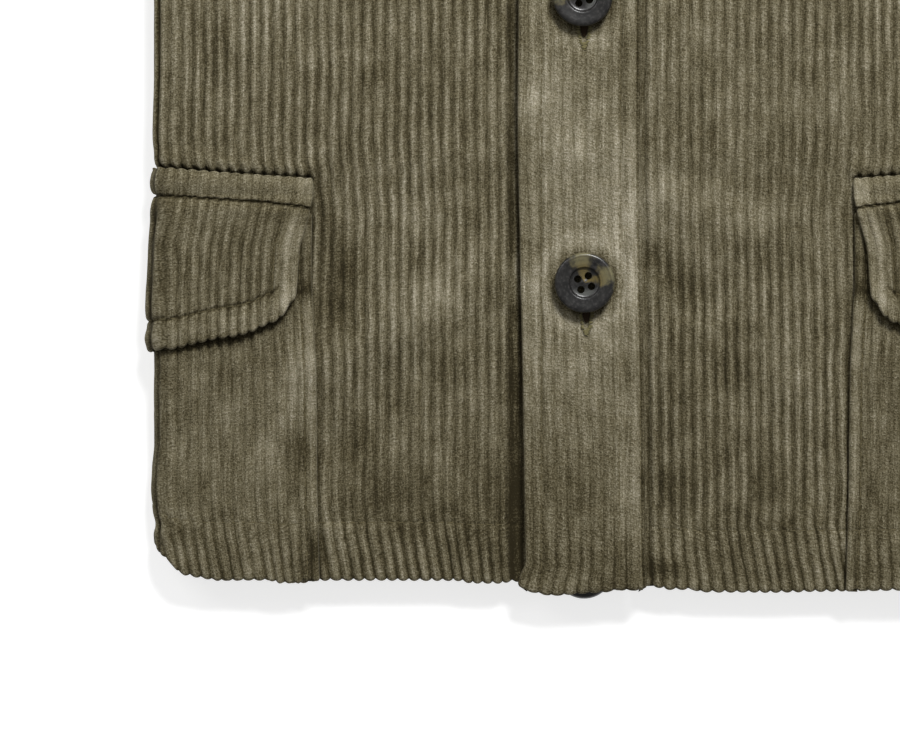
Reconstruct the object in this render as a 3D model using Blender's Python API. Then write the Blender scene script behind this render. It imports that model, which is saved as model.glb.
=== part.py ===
"""A wide-wale corduroy shirt jacket for a man, buttoned, with its sides and sleeves folded behind, lying on its back.

Sizes are in millimetres up to the last step, which makes metres. Across the garment x runs to the viewer's right, v runs
from the hem (0) up to the collar, and z up from the surface that it lies on. One section is drawn at each height: a flat
top, a half-round fold at each side and a flat underside. Every piece that lies on the body is made from that section's
points, moved outwards.
"""

import itertools
import math

import bmesh
import bpy
from mathutils import Vector

MM = 0.001

# The cloth
WALL = 1.9  # from the inside of the cloth to the top of a wale
POCKET_WALL = 1.8
WALE = 3.83  # one wale and its groove, on the body
WALE_POCKET = 3.55  # the pockets are cut where the wales lie closer
RELIEF = 0.9  # how far a wale stands above its groove
GAP = 0.3  # between pieces that touch
SLACK = 0.9  # the layers inside lie this much below the fronts, clear of their creases

# Heights up the garment
PLACKET_HEM = -4.3
LEFT_HEM = -2.7
RIGHT_HEM = 0.4
FLAP_HINGE = 136.5
POCKET_MOUTH = 121.5
FRONT_NECK = 648.0
BACK_NECK = 700.0
SIDE_NECK = 718.0
FOLD_SHOULDER = 697.0
SHOULDER_TIP = 672.0
UNDERARM = 440.0
CUFF_END = 146.0
CUFF_SEAM = 207.0
LOWEST = -6.0  # the button that shows under the placket
HIGHEST = 743.6  # the roll of the collar at the back
MIDDLE = (LOWEST + HIGHEST) / 2

# Across the garment
FLAT_HALF = 138.5  # half of the flat top between the folds, over the upper body
FLAT_HEM_HALF = 137.0  # the same, near the hem
NECK_HALF = 70.0
TIP_X = 59.0  # the shoulder's tip, folded in under the body
SEAM_X = 5.0  # half the space between the side seams, underneath
POCKET_UNDER_X = 42.0  # where the pocket ends, underneath
FLAP_UNDER_X = 39.0
UNDER_PLACKET = (-14.7, 17.0)
PLACKET_WALES = 10
PLACKET_WALL = 2.6  # the doubled placket, up to the top of a wale
EDGE_RISE = 0.4  # the placket's folded edges turn down to this
PANEL_INNER = 15.0  # the right front ends here, under the placket
NOTCH_HALF = 13.0  # the hidden layers leave this free at the hem, for the button

# The body's section: height, half width at the fold, underside, top
BODY = (
    (-8, 141.0, 2.1, 10.3),
    (18, 141.0, 2.1, 10.8),
    (45, 141.0, 2.3, 11.3),
    (70, 141.0, 4.3, 12.7),
    (92, 141.0, 4.6, 13.3),
    (115, 140.9, 4.9, 13.8),
    (137, 141.2, 5.3, 14.3),
    (147, 143.7, 5.9, 14.9),
    (320, 143.0, 7.0, 16.0),
    (590, 143.2, 7.0, 15.9),
    (760, 143.0, 7.0, 15.5),
)

# Soft folds of the fronts: ends x and v, x and v, half width, height
CREASES = (
    (-33, 99, -86, 74, 10, 1.0),
    (-90, 128, -81, 84, 7, -0.8),
    (-61, 70, -81, 43, 9, -0.7),
    (-95, 70, -109, 35, 8, 0.6),
    (28, 127, 56, 116, 8, 0.9),
    (24, 106, 44, 92, 7, -0.8),
)

# The hem rises round the fold, towards the side seam: place in the section, rise
HEM = ((0.0, 0.0), (0.93, 0.0), (0.975, 2.2), (1.0, 4.6), (1.5, 10.5), (2.0, 14.0), (3.0, 16.0))

HEM_REACH = 70.0  # the rise dies out this far up

# The placket's edges: height, free edge, stitched edge
PLACKET = ((-8, -17.7, 20.6), (60, -19.0, 19.8), (147, -20.9, 18.3), (300, -20.0, 18.6), (660, -19.4, 19.4))

# The pocket's inner edge: height, x
POCKET = ((-8, 89.0), (30, 89.7), (70, 89.8), (100, 91.5), (140, 91.0))

# The flap's inner edge: height, x
FLAP_EDGE = ((89, 99.0), (96, 96.3), (111, 95.4), (124, 91.6), (137, 90.4))

# The flap's lower edge: place in the section, height
FLAP_HEM = ((0.72, 88.8), (0.77, 85.6), (0.84, 82.4), (0.92, 80.0), (1.0, 77.6), (1.5, 75.0), (2.2, 75.0), (2.72, 89.0))

# How far the flap stands off the body, as it clears the pocket: height, distance
FLAP_LIFT = ((123, 2.4), (128.5, 0.3))

# Columns of a wall that goes round the fold
AROUND = 8  # round the fold
UNDERNEATH = 6  # plain ones, underneath
INSIDE_EVERY = 6  # the plain inside keeps one column in so many

# Rows of the fronts: lower rows by height, upper rows by the drop from the shoulder or neck
LOW_ROWS = (18, 45, 70, 92, 115, 137, 147, 320, 590)
EVEN_ABOVE = 147  # above this the rows share out what is left of each column
HIGH_ROWS = (22, 7, 0)
SQUEEZE = ((0, 0.45), (7, 0.28), (22, 0.0))  # drop from the shoulder, share of the height lost
SQUEEZED = ((0, 1), (1.5, 1), (2, 0))  # place in the section, how much of that it loses

# The sleeves, underneath: height, inner edge, outer edge, thickness
SLEEVE = (
    (207.3, 24, 132, 5.6),
    (300, 17, 135, 6.2),
    (450, 11, 137, 6.6),
    (560, 8, 138, 6.6),
    (600, 8, 138, 6.6),
)
SLEEVE_GROOVE = 1.8  # the depth of the line between its layers
SLEEVE_END_THINNER = 1.6
SLEEVE_TOP = 693.0  # at the sleeve's outer edge
SLEEVE_SLANT = 0.45  # the fold at its top falls this much towards the middle
CUFF = (20.0, 136.0, 5.0)  # inner edge, outer edge, thickness
CUFF_TAPER = 3.0  # it narrows by this much on each side, up to its seam
CUFF_INSIDE = (0.95, 0.16)  # the slit inside, as a share of its width and thickness
CUFF_DEPTH = 41.0

# The collar, from the middle of the front to the middle of the back. Rows: the roll, the bend, the outer edge
COLLAR = (
    ((5, 678, 23.8), (27, 645, 23.5), (48, 612, 18.1)),
    ((22, 681, 24.2), (45, 660, 25.5), (68, 640, 18.1)),
    ((42, 693, 26.2), (66, 683, 28.0), (87, 667, 18.1)),
    ((58, 711, 28.0), (83, 706, 29.0), (99, 691, 18.0)),
    ((67, 727, 27.6), (90, 729, 26.0), (105, 712, 15.2)),
    ((64, 737, 25.0), (82, 745, 15.0), (94, 726, 7.6)),
    ((50, 739, 23.6), (62, 750, 11.0), (72, 718, 3.6)),
    ((24, 739, 22.4), (28, 751, 7.0), (34, 709, 2.2)),
    ((0, 738.5, 22.0), (0, 750, 6.0), (0, 706, 2.0)),
)
COLLAR_WALL = 3.0
COLLAR_WALES = 11

# The stand, from the end that lies underneath round to the end on top. Rows: the neck seam, the upper edge
STAND = (
    ((17, 649.6, 15.6), (16, 675, 16.8)),
    ((0, 649.2, 15.5), (0, 674, 16.9)),
    ((-20, 652.6, 15.9), (-22, 679, 19.0)),
    ((-40, 668.4, 16.0), (-42, 692, 22.0)),
    ((-58, 694.6, 15.9), (-57, 709, 24.0)),
    ((-66.4, 714.0, 16.0), (-65, 725, 23.6)),
    ((-61, 720.6, 14.9), (-61, 733.5, 21.0)),
    ((-35, 710.0, 12.9), (-36, 734.5, 19.2)),
    ((0, 704.6, 11.8), (0, 733.5, 18.4)),
    ((35, 710.0, 12.9), (36, 734.5, 19.2)),
    ((61, 720.6, 14.9), (61, 733.5, 21.0)),
    ((66.4, 714.0, 16.0), (65, 725, 23.6)),
    ((58, 694.6, 15.9), (57, 709, 24.0)),
    ((40, 668.4, 16.2), (42, 692, 22.4)),
    ((20, 652.6, 17.6), (22, 679, 20.6)),
    ((0, 649.2, 18.5), (0, 674, 20.2)),
    ((-17, 649.6, 18.6), (-16, 675, 20.0)),
)
STAND_WALL = 2.4

# Buttons
BUTTON_D = 20.0
STAND_BUTTON_D = 15.0
BUTTON_PITCH = 95.0
LOWEST_BUTTON = 99.0
BUTTON_COUNT = 6
BUTTON_SHIFT = 1.1  # the buttons stand this far right of the placket's middle
STAND_BUTTON = (-1.0, 661.5, 21.3)
SPARE_BUTTON = (1.0, 4.0)
HOLE_D = 2.3
HOLE_OUT = 2.7  # from the button's middle to a hole's
HOLE_TURN = math.radians(17)
# A button's turned outline: share of its radius, height
BUTTON_OUTLINE = (
    (0.0, 0.0),
    (0.72, 0.0),
    (0.95, 1.1),
    (1.0, 2.1),
    (0.93, 3.1),
    (0.8, 3.4),
    (0.62, 2.9),
    (0.52, 2.0),
    (0.0, 1.8),
)

OLIVE = (0.105, 0.088, 0.052)
HORN = (0.035, 0.028, 0.022)


def clear_scene():
    for obj in list(bpy.data.objects):
        bpy.data.objects.remove(obj, do_unlink=True)


def material(name, colour, roughness):
    made = bpy.data.materials.new(name)
    made.use_nodes = True
    shader = made.node_tree.nodes["Principled BSDF"]
    shader.inputs["Base Color"].default_value = (*colour, 1)
    shader.inputs["Roughness"].default_value = roughness
    shader.inputs["Metallic"].default_value = 0
    return made


def placed(x, v, z):
    """A point of the garment in metres, with the middle of its length at the origin."""
    return Vector((x, v - MIDDLE, z)) * MM


def finish(name, bm, colour, roughness):
    bmesh.ops.recalc_face_normals(bm, faces=bm.faces)
    mesh = bpy.data.meshes.new(name)
    bm.to_mesh(mesh)
    bm.free()
    mesh.shade_smooth()
    mesh.set_sharp_from_angle(angle=math.radians(35))
    obj = bpy.data.objects.new(name, mesh)
    bpy.context.scene.collection.objects.link(obj)
    mesh.materials.append(material(name, colour, roughness))
    return obj


def at(table, where):
    """The columns after the first, read straight between the rows of a table."""
    low, high = table[0], table[1]
    for low, high in zip(table, table[1:]):
        if where <= high[0]:
            break
    share = min(max((where - low[0]) / (high[0] - low[0]), 0), 1)
    return [a + (b - a) * share for a, b in zip(low[1:], high[1:])]


def crease(x, v):
    """How far the soft folds lift the front at a place."""
    lift = 0.0
    for x0, v0, x1, v1, half, height in CREASES:
        dx, dv = x1 - x0, v1 - v0
        along = ((x - x0) * dx + (v - v0) * dv) / (dx * dx + dv * dv)
        along = min(max(along, 0), 1)
        away = math.hypot(x - x0 - along * dx, v - v0 - along * dv)
        lift += height * math.exp(-((away / half) ** 2))
    return lift


def section(row, side, place, out, creased):
    """x and z in one row of the body. place runs over the top (0 to 1), round the fold (to 2) and underneath (to 3)."""
    v, fold, under, top = row
    radius = (top - under) / 2
    flat = fold - radius
    if place <= 1:
        x = place * flat
        fade = min(1, 8 * (1 - place))
        lift = crease(side * x, v) if creased else -SLACK
        return x, top + out + lift * fade
    if place <= 2:
        angle = (place - 1) * math.pi
        return flat + (radius + out) * math.sin(angle), under + radius + (radius + out) * math.cos(angle)
    return flat * (3 - place), under - out


def on_body(side, place, v, out, drop=None, creased=True):
    """A point on the body, or out from it. drop is the distance from a shoulder edge, where the layers thin."""
    low, high = BODY[0], BODY[1]
    for low, high in zip(BODY, BODY[1:]):
        if v <= high[0]:
            break
    share = (v - low[0]) / (high[0] - low[0])
    x0, z0 = section(low, side, place, out, creased)
    x1, z1 = section(high, side, place, out, creased)
    x, z = x0 + (x1 - x0) * share, z0 + (z1 - z0) * share
    if drop is not None:
        _, under, top = at(BODY, v)
        middle = (under + top) / 2
        z = middle + (z - middle) * (1 - at(SQUEEZE, drop)[0] * at(SQUEEZED, place)[0])
    return x * side, v, z


def place_of(x, v):
    """The place in the section of a distance x from the middle, on top."""
    fold, under, top = at(BODY, v)
    return x / (fold - (top - under) / 2)


def steps(first, last, count):
    return [first + (last - first) * i / count for i in range(count + 1)]


def wall(name, outer, inner, kept, colour=OLIVE):
    """A closed wall from two grids of points, row by row. The inner grid keeps only the columns in kept."""
    bm = bmesh.new()
    out = [[bm.verts.new(placed(*p)) for p in row] for row in outer]
    ins = [[bm.verts.new(placed(*row[k])) for k in kept] for row in inner]
    for low, high in zip(out, out[1:]):
        for c in range(len(low) - 1):
            bm.faces.new((low[c], low[c + 1], high[c + 1], high[c]))
    for low, high in zip(ins, ins[1:]):
        for c in range(len(low) - 1):
            bm.faces.new((high[c], high[c + 1], low[c + 1], low[c]))
    for end in (0, -1):
        for c in range(len(kept) - 1):
            rim = out[end][kept[c] : kept[c + 1] + 1]
            bm.faces.new([*rim, ins[end][c + 1], ins[end][c]])
    for side in (0, -1):
        for r in range(len(out) - 1):
            bm.faces.new((out[r][side], out[r + 1][side], ins[r + 1][side], ins[r][side]))
    return finish(name, bm, colour, 0.95)


def hem_rise(place, v):
    """How far the hem's curve lifts a row near the hem."""
    return at(HEM, place)[0] * max(0, 1 - v / HEM_REACH)


def front_top(place):
    """The upper end of a front: the neckline, the shoulder, and underneath the folded shoulder and the armhole."""
    if place <= 1:
        x = place * FLAT_HALF
        if x < NECK_HALF:
            return FRONT_NECK + (SIDE_NECK - FRONT_NECK) * (x / NECK_HALF) ** 2.4
        return SIDE_NECK - (SIDE_NECK - FOLD_SHOULDER) * (x - NECK_HALF) / (FLAT_HALF - NECK_HALF)
    if place <= 2:
        return FOLD_SHOULDER
    x = (3 - place) * FLAT_HALF
    if x > TIP_X:
        return FOLD_SHOULDER - (FOLD_SHOULDER - SHOULDER_TIP) * (FLAT_HALF - x) / (FLAT_HALF - TIP_X)
    return SHOULDER_TIP - (SHOULDER_TIP - UNDERARM) * (1 - x / TIP_X) ** 0.7


def column_rows(place, hem, top):
    """The heights of the rows in one column, each with its drop from the upper end."""
    rows = [(hem + hem_rise(place, 0), None)]
    for v in LOW_ROWS:
        above = v + hem_rise(place, v)
        if v > EVEN_ABOVE:
            left, whole = top - HIGH_ROWS[0] - EVEN_ABOVE, SIDE_NECK - HIGH_ROWS[0] - EVEN_ABOVE
            above = EVEN_ABOVE + (v - EVEN_ABOVE) * left / whole
        rows.append((above, None))
    shoulder = place > NECK_HALF / FLAT_HALF
    return rows + [(top - drop, drop if shoulder else None) for drop in HIGH_ROWS]


def columns_of(first, wale, last):
    """Places across a wall, with the relief of each column: grooves and wales by turns, then plain underneath."""
    over = round((1 - first) * FLAT_HEM_HALF / (wale / 2))
    places = [(p, i % 2) for i, p in enumerate(steps(first, 1, over))]
    places += [(p, (over + i + 1) % 2) for i, p in enumerate(steps(1, 2, AROUND)[1:])]
    places += [(p, 1) for p in steps(2, last, UNDERNEATH)[1:]]
    kept = [i for i, (p, _) in enumerate(places) if p >= 1 or i % INSIDE_EVERY == 0 or i == over]
    return places, kept


def make_front(name, side, hem, inner_x):
    """One front, from beside the placket, over the top, round the fold and back underneath to its side seam."""
    first = inner_x(EVEN_ABOVE) / FLAT_HALF
    places, kept = columns_of(first, WALE, 3 - SEAM_X / FLAT_HALF)
    outer, inner = [], []
    for row in range(len(LOW_ROWS) + 1 + len(HIGH_ROWS)):
        out_row, in_row = [], []
        for place, ridge in places:
            v, drop = column_rows(place, hem, front_top(place))[row]
            if place < 1:
                shift = place_of(inner_x(v), v) - first
                place += shift * (1 - place) / (1 - first)
            out_row.append(on_body(side, place, v, -RELIEF * (1 - ridge), drop))
            in_row.append(on_body(side, place, v, -WALL, drop))
        outer.append(out_row)
        inner.append(in_row)
    wall(name, outer, inner, kept)


def make_pocket(side, name, hem):
    places, kept = columns_of(POCKET[2][1] / FLAT_HEM_HALF, WALE_POCKET, 3 - POCKET_UNDER_X / FLAT_HEM_HALF)
    first = places[0][0]
    outer, inner = [], []
    for v in (hem, *LOW_ROWS[:5], POCKET_MOUTH):
        out_row, in_row = [], []
        for place, ridge in places:
            height = v + hem_rise(place, max(v, 0))
            if place < 1:
                place += (place_of(at(POCKET, v)[0], v) - first) * (1 - place) / (1 - first)
            out_row.append(on_body(side, place, height, GAP + POCKET_WALL - RELIEF * (1 - ridge)))
            in_row.append(on_body(side, place, height, GAP))
        outer.append(out_row)
        inner.append(in_row)
    wall(name, outer, inner, kept)


def make_flap(side, name):
    """The flap hangs from its hinge over the pocket's mouth, round the fold."""
    places, kept = columns_of(FLAP_EDGE[2][1] / FLAT_HEM_HALF, WALE_POCKET, 3 - FLAP_UNDER_X / FLAT_HEM_HALF)
    first = places[0][0]
    outer, inner = [], []
    for row in range(5):
        out_row, in_row = [], []
        for place, ridge in places:
            low = at(FLAP_HEM, place)[0]
            v = (low, 0.6 * low + 0.4 * FLAP_LIFT[0][0], FLAP_LIFT[0][0], FLAP_LIFT[1][0], FLAP_HINGE)[row]
            lift = at(FLAP_LIFT, v)[0]
            if place < 1:
                place += (place_of(at(FLAP_EDGE, v)[0], v) - first) * (1 - place) / (1 - first)
            out_row.append(on_body(side, place, v, lift + POCKET_WALL - RELIEF * (1 - ridge)))
            in_row.append(on_body(side, place, v, lift))
        outer.append(out_row)
        inner.append(in_row)
    wall(name, outer, inner, kept)


def placket_top(v):
    """The height of the body's top beside the placket."""
    return at(BODY, v)[2]


def make_plackets():
    """The strip that carries the buttonholes, and the one under it that carries the buttons."""
    count = 2 * PLACKET_WALES
    rows = (PLACKET_HEM, *LOW_ROWS, FRONT_NECK - GAP)
    outer, inner = [], []
    for v in rows:
        left, right = at(PLACKET, v)
        base = placket_top(v) + GAP
        across = steps(left, right, count)
        rise = [EDGE_RISE if i in (0, count) else PLACKET_WALL - RELIEF * (i % 2) for i in range(count + 1)]
        outer.append([(x, v, base + h) for x, h in zip(across, rise)])
        inner.append([(x, v, base) for x in across])
    wall("placket", outer, inner, range(0, count + 1, 5))
    across = steps(*UNDER_PLACKET, 4)
    top = [[(x, v, placket_top(v)) for x in across] for v in (0, *LOW_ROWS, FRONT_NECK - GAP)]
    low = [[(x, v, z - WALL) for x, v, z in row] for row in top]
    wall("under_placket", top, low, range(len(across)))


def back_top(place):
    """The back's upper end: its neckline, then the shoulders."""
    x = (place if place <= 1 else min(1, 3 - place)) * FLAT_HALF
    if x < NECK_HALF:
        return BACK_NECK + (SIDE_NECK - BACK_NECK) * (x / NECK_HALF) ** 2
    return SIDE_NECK - (SIDE_NECK - FOLD_SHOULDER) * (x - NECK_HALF) / (FLAT_HALF - NECK_HALF) - 0.5


def make_folded_layers():
    """The back and its folded sides, as one rounded solid. At the hem its two layers part."""
    inset = WALL + GAP
    over = [0, 0.18, 0.36, 0.51, 0.68, 0.84, 1]
    half = over + [1.17, 1.33, 1.5, 1.67, 1.83, 2] + [3 - p for p in reversed(over[:-1])]
    loop = [(1, p) for p in half] + [(-1, p) for p in reversed(half[1:-1])]
    bm = bmesh.new()
    rings = []
    for row in range(1, len(LOW_ROWS) + 1 + len(HIGH_ROWS)):
        ring = []
        for side, place in loop:
            v, drop = column_rows(place, 0, back_top(place))[row]
            ring.append(bm.verts.new(placed(*on_body(side, place, v, -inset, drop, False))))
        rings.append(ring)
    for low, high in zip(rings, rings[1:]):
        for c in range(len(loop)):
            n = (c + 1) % len(loop)
            bm.faces.new((low[c], low[n], high[n], high[c]))
    last = len(half) - 1
    for ring, sign in itertools.product((rings[0], rings[-1]), (1, -1)):
        line = [ring[sign * k if sign * k > -len(ring) else 0] for k in range(last + 1)]
        for k in range(last // 2):
            corners = dict.fromkeys((line[k], line[k + 1], line[last - k - 1], line[last - k]))
            bm.faces.new(corners)
    obj = finish("folded_layers", bm, OLIVE, 0.95)
    add_hem_layers(obj)
    return obj


def add_hem_layers(obj):
    """Two layers of the back's hem, which stand out of the hidden layers' lower end, beside the button."""
    fold, under, top = at(BODY, 10)
    low, high = under + WALL + GAP, top - WALL - GAP
    middle = (low + high) / 2
    layers = ((low + 0.25, middle - 0.35, 3.5), (middle + 0.35, high - 0.25, 6.0))
    for side, (z0, z1, hem) in itertools.product((-1, 1), layers):
        near, far = hem - MIDDLE, 36.0 - MIDDLE
        bm = bmesh.new()
        bmesh.ops.create_cube(bm, size=1)
        for vert in bm.verts:
            x, v, z = vert.co
            wide = fold - 12 if v > 0 else fold - 16
            x = wide if x > 0 else NOTCH_HALF + 0.2 * hem
            vert.co = Vector((side * x, far if v > 0 else near, z1 if z > 0 else z0)) * MM
        edges = [e for e in bm.edges if all(v.co.y < (near + 1) * MM for v in e.verts)]
        bmesh.ops.bevel(bm, geom=edges, offset=0.5 * MM, affect="EDGES", segments=1, profile=0.5, material=-1)
        layer = finish("hem_layer", bm, OLIVE, 0.95)
        join = obj.modifiers.new("hem_layer", "BOOLEAN")
        join.operation = "UNION"
        join.solver = "EXACT"
        join.object = layer
        bpy.context.view_layer.update()
        joined = bpy.data.meshes.new_from_object(obj.evaluated_get(bpy.context.evaluated_depsgraph_get()))
        obj.modifiers.clear()
        obj.data = joined
        bpy.data.objects.remove(layer, do_unlink=True)


def sleeve_ring(inner, outer, thick, side, rows):
    """A flattened sleeve's section, flat underneath, with the line of its fold along the inner edge."""
    r = thick / 2
    xs = steps(inner + r, outer - r, 5)
    ring = [(x, 0) for x in xs]
    for angle in (-50, 0, 50):
        turn = math.radians(angle)
        ring.append((outer - r + r * math.cos(turn), r + r * math.sin(turn)))
    ring += [(x, thick) for x in reversed(xs)]
    ring += [(inner + 0.6, r * 1.5), (inner + SLEEVE_GROOVE, r), (inner + 0.2, r * 0.5)]
    return [(side * x, rows(x), z) for x, z in ring]


def skin(bm, rings):
    """Faces between closed rings of points, with the two ends closed."""
    made = [[bm.verts.new(placed(*p)) for p in ring] for ring in rings]
    for low, high in zip(made, made[1:]):
        for c in range(len(low)):
            n = (c + 1) % len(low)
            bm.faces.new((low[c], low[n], high[n], high[c]))
    bm.faces.new(made[0])
    bm.faces.new(made[-1])


def make_sleeve(side, name):
    rings = []
    for v, inner, outer, thick in SLEEVE:
        rings.append(sleeve_ring(inner, outer, thick, side, lambda x, v=v: v))
    for share in (0.5, 1):
        last = SLEEVE[-1]

        def slanted(x, share=share, last=last):
            top = SLEEVE_TOP - SLEEVE_SLANT * (last[2] - x)
            return last[0] + (top - last[0]) * share

        thick = last[3] - SLEEVE_END_THINNER * (share == 1)
        rings.append(sleeve_ring(last[1], last[2], thick, side, slanted))
    bm = bmesh.new()
    skin(bm, rings)
    finish(name, bm, OLIVE, 0.95)


def make_cuff(side, name):
    """A flattened band, open at its end."""
    inner, outer, thick = CUFF
    middle, level = (inner + outer) / 2 * side, thick / 2
    end = sleeve_ring(inner, outer, thick, side, lambda x: CUFF_END)
    seam = sleeve_ring(inner + CUFF_TAPER, outer - CUFF_TAPER, thick, side, lambda x: CUFF_SEAM)
    lip = [(middle + (x - middle) * CUFF_INSIDE[0], v, level + (z - level) * CUFF_INSIDE[1]) for x, v, z in end]
    deep = [(x, CUFF_END + CUFF_DEPTH, z) for x, v, z in lip]
    bm = bmesh.new()
    skin(bm, (seam, end, lip, deep))
    finish(name, bm, OLIVE, 0.95)


def spline(points, samples):
    """A smooth curve through a list of points, with that many samples from each to the next."""
    line = [Vector(p) for p in points]
    line = [2 * line[0] - line[1], *line, 2 * line[-1] - line[-2]]
    made = []
    for a, b, c, d in zip(line, line[1:], line[2:], line[3:]):
        for i in range(samples):
            t = i / samples
            made.append(
                0.5 * (2 * b + (c - a) * t + (2 * a - 5 * b + 4 * c - d) * t**2 + (3 * b - a - 3 * c + d) * t**3)
            )
    return [*made, line[-2]]


def normals_of(grid):
    """The normal at each point of a grid of points, upwards at its start."""
    rows, columns = len(grid), len(grid[0])
    made = []
    for r in range(rows):
        line = []
        for c in range(columns):
            up = grid[min(r + 1, rows - 1)][c] - grid[max(r - 1, 0)][c]
            across = grid[r][min(c + 1, columns - 1)] - grid[r][max(c - 1, 0)]
            line.append(across.cross(up).normalized())
        made.append(line)
    if made[0][columns // 2].z < 0:
        made = [[-n for n in line] for line in made]
    return made


def make_collar():
    """The collar falls from its roll to its outer edge, with its wales along it."""
    half = [spline([row[k] for row in COLLAR], 2) for k in range(3)]
    rails = []
    for rail in half:
        mirrored = [Vector((-p.x, p.y, p.z)) for p in rail[:-1]]
        rails.append(mirrored + list(reversed(rail)))
    across = steps(0, 1, 2 * COLLAR_WALES)
    grid = []
    for roll, bend, edge in zip(*rails):
        grid.append([roll * (1 - t) ** 2 + bend * 2 * t * (1 - t) + edge * t * t for t in across])
    facing = normals_of(grid)
    outer = [
        [tuple(p + n * (COLLAR_WALL / 2 - RELIEF * (i % 2 == 1))) for i, (p, n) in enumerate(zip(row, way))]
        for row, way in zip(grid, facing)
    ]
    inner = [[tuple(p - n * COLLAR_WALL / 2) for p, n in zip(row, way)] for row, way in zip(grid, facing)]
    wall("collar", outer, inner, [0, 3, 6, 10, 14, 18, 22])


def make_stand():
    seam = spline([row[0] for row in STAND], 2)
    edge = spline([row[1] for row in STAND], 2)
    grid = [[a.lerp(b, t) for t in (0, 0.5, 1)] for a, b in zip(seam, edge)]
    facing = normals_of(grid)
    outer = [[tuple(p + n * STAND_WALL / 2) for p, n in zip(row, way)] for row, way in zip(grid, facing)]
    inner = [[tuple(p - n * STAND_WALL / 2) for p, n in zip(row, way)] for row, way in zip(grid, facing)]
    wall("collar_stand", outer, inner, [0, 1, 2])


def make_button(name, x, v, z, diameter, face_down=False):
    """A four-hole button with a raised rim and a sunk middle, turned and then drilled."""
    radius = diameter / 2
    thin = diameter / BUTTON_D
    bm = bmesh.new()
    outline = [bm.verts.new((r * radius * MM, 0, h * thin * MM)) for r, h in BUTTON_OUTLINE]
    edges = [bm.edges.new(pair) for pair in zip(outline, outline[1:])]
    bmesh.ops.spin(
        bm,
        geom=outline + edges,
        cent=(0, 0, 0),
        axis=(0, 0, 1),
        angle=2 * math.pi,
        steps=14,
        use_merge=True,
    )
    bmesh.ops.remove_doubles(bm, verts=bm.verts, dist=1e-6)
    obj = finish(name, bm, HORN, 0.3)
    drill = bmesh.new()
    for i in range(4):
        angle = HOLE_TURN + math.radians(45 + 90 * i)
        spot = Vector((math.cos(angle), math.sin(angle), 0)) * HOLE_OUT * thin * MM
        made = bmesh.ops.create_cone(
            drill,
            cap_ends=True,
            segments=6,
            radius1=HOLE_D / 2 * thin * MM,
            radius2=HOLE_D / 2 * thin * MM,
            depth=12 * MM,
        )
        bmesh.ops.translate(drill, verts=made["verts"], vec=spot)
    holes = finish(name + "_holes", drill, HORN, 0.3)
    cut = obj.modifiers.new("holes", "BOOLEAN")
    cut.operation = "DIFFERENCE"
    cut.solver = "EXACT"
    cut.object = holes
    holes.hide_render = True
    holes.display_type = "WIRE"
    holes.parent = obj
    obj.location = placed(x, v, z)
    if face_down:
        obj.rotation_euler = (math.pi, 0, 0)
    return obj


def make_buttons():
    for i in range(BUTTON_COUNT):
        v = LOWEST_BUTTON + BUTTON_PITCH * i
        z = placket_top(v) + GAP + PLACKET_WALL + GAP
        make_button(f"button_{i + 1}", sum(at(PLACKET, v)) / 2 + BUTTON_SHIFT, v, z, BUTTON_D)
    make_button("button_collar", *STAND_BUTTON, STAND_BUTTON_D)
    x, v = SPARE_BUTTON
    make_button("button_spare", x, v, at(BODY, v)[2] - WALL - GAP, BUTTON_D, face_down=True)


clear_scene()
make_front("front_right", -1, RIGHT_HEM, lambda v: PANEL_INNER)
make_front("front_left", 1, LEFT_HEM, lambda v: at(PLACKET, v)[1] + GAP)
make_plackets()
for side, hand, hem in ((-1, "right", RIGHT_HEM), (1, "left", LEFT_HEM)):
    make_pocket(side, f"pocket_{hand}", hem)
    make_flap(side, f"flap_{hand}")
    make_sleeve(side, f"sleeve_{hand}")
    make_cuff(side, f"cuff_{hand}")
make_folded_layers()
make_collar()
make_stand()
make_buttons()
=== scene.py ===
"""The looks of a wide-wale corduroy shirt jacket that lies folded on its back.

Sizes are in millimetres until a piece is placed. x runs to the viewer's right, v from the hem up to the
collar and z up from the surface. A run goes from the middle of the front round the fold and back underneath.
A cloth is a grid of points, row by row up the garment, which a grid made by bmesh takes over.
"""

import math

import bmesh
import bpy
import numpy as np
from mathutils import Matrix, Vector


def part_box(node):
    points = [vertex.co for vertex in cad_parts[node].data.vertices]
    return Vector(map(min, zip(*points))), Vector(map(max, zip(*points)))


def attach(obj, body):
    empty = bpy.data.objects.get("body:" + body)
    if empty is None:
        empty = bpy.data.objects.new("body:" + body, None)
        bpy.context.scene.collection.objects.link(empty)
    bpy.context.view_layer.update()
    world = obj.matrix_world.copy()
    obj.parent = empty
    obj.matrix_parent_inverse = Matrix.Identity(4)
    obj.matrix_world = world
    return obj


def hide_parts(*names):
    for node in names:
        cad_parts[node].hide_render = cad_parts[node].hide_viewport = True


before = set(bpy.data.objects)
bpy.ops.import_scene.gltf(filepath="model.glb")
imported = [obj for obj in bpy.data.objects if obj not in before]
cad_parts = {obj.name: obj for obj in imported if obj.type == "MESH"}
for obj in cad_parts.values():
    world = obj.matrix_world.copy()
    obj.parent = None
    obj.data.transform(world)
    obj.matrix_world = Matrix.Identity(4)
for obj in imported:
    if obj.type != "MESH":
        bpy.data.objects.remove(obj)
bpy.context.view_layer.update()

MM = 0.001
MIDDLE = 368.8
IMAGE = (900, 737)
PIXELS_PER_MM = 3.0
ZERO_PIXEL = (583, 580)  # the place in the image of x = 0 and v = 0
VIEW_TOP = 147.0  # about the height up to which the photo shows the garment

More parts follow.
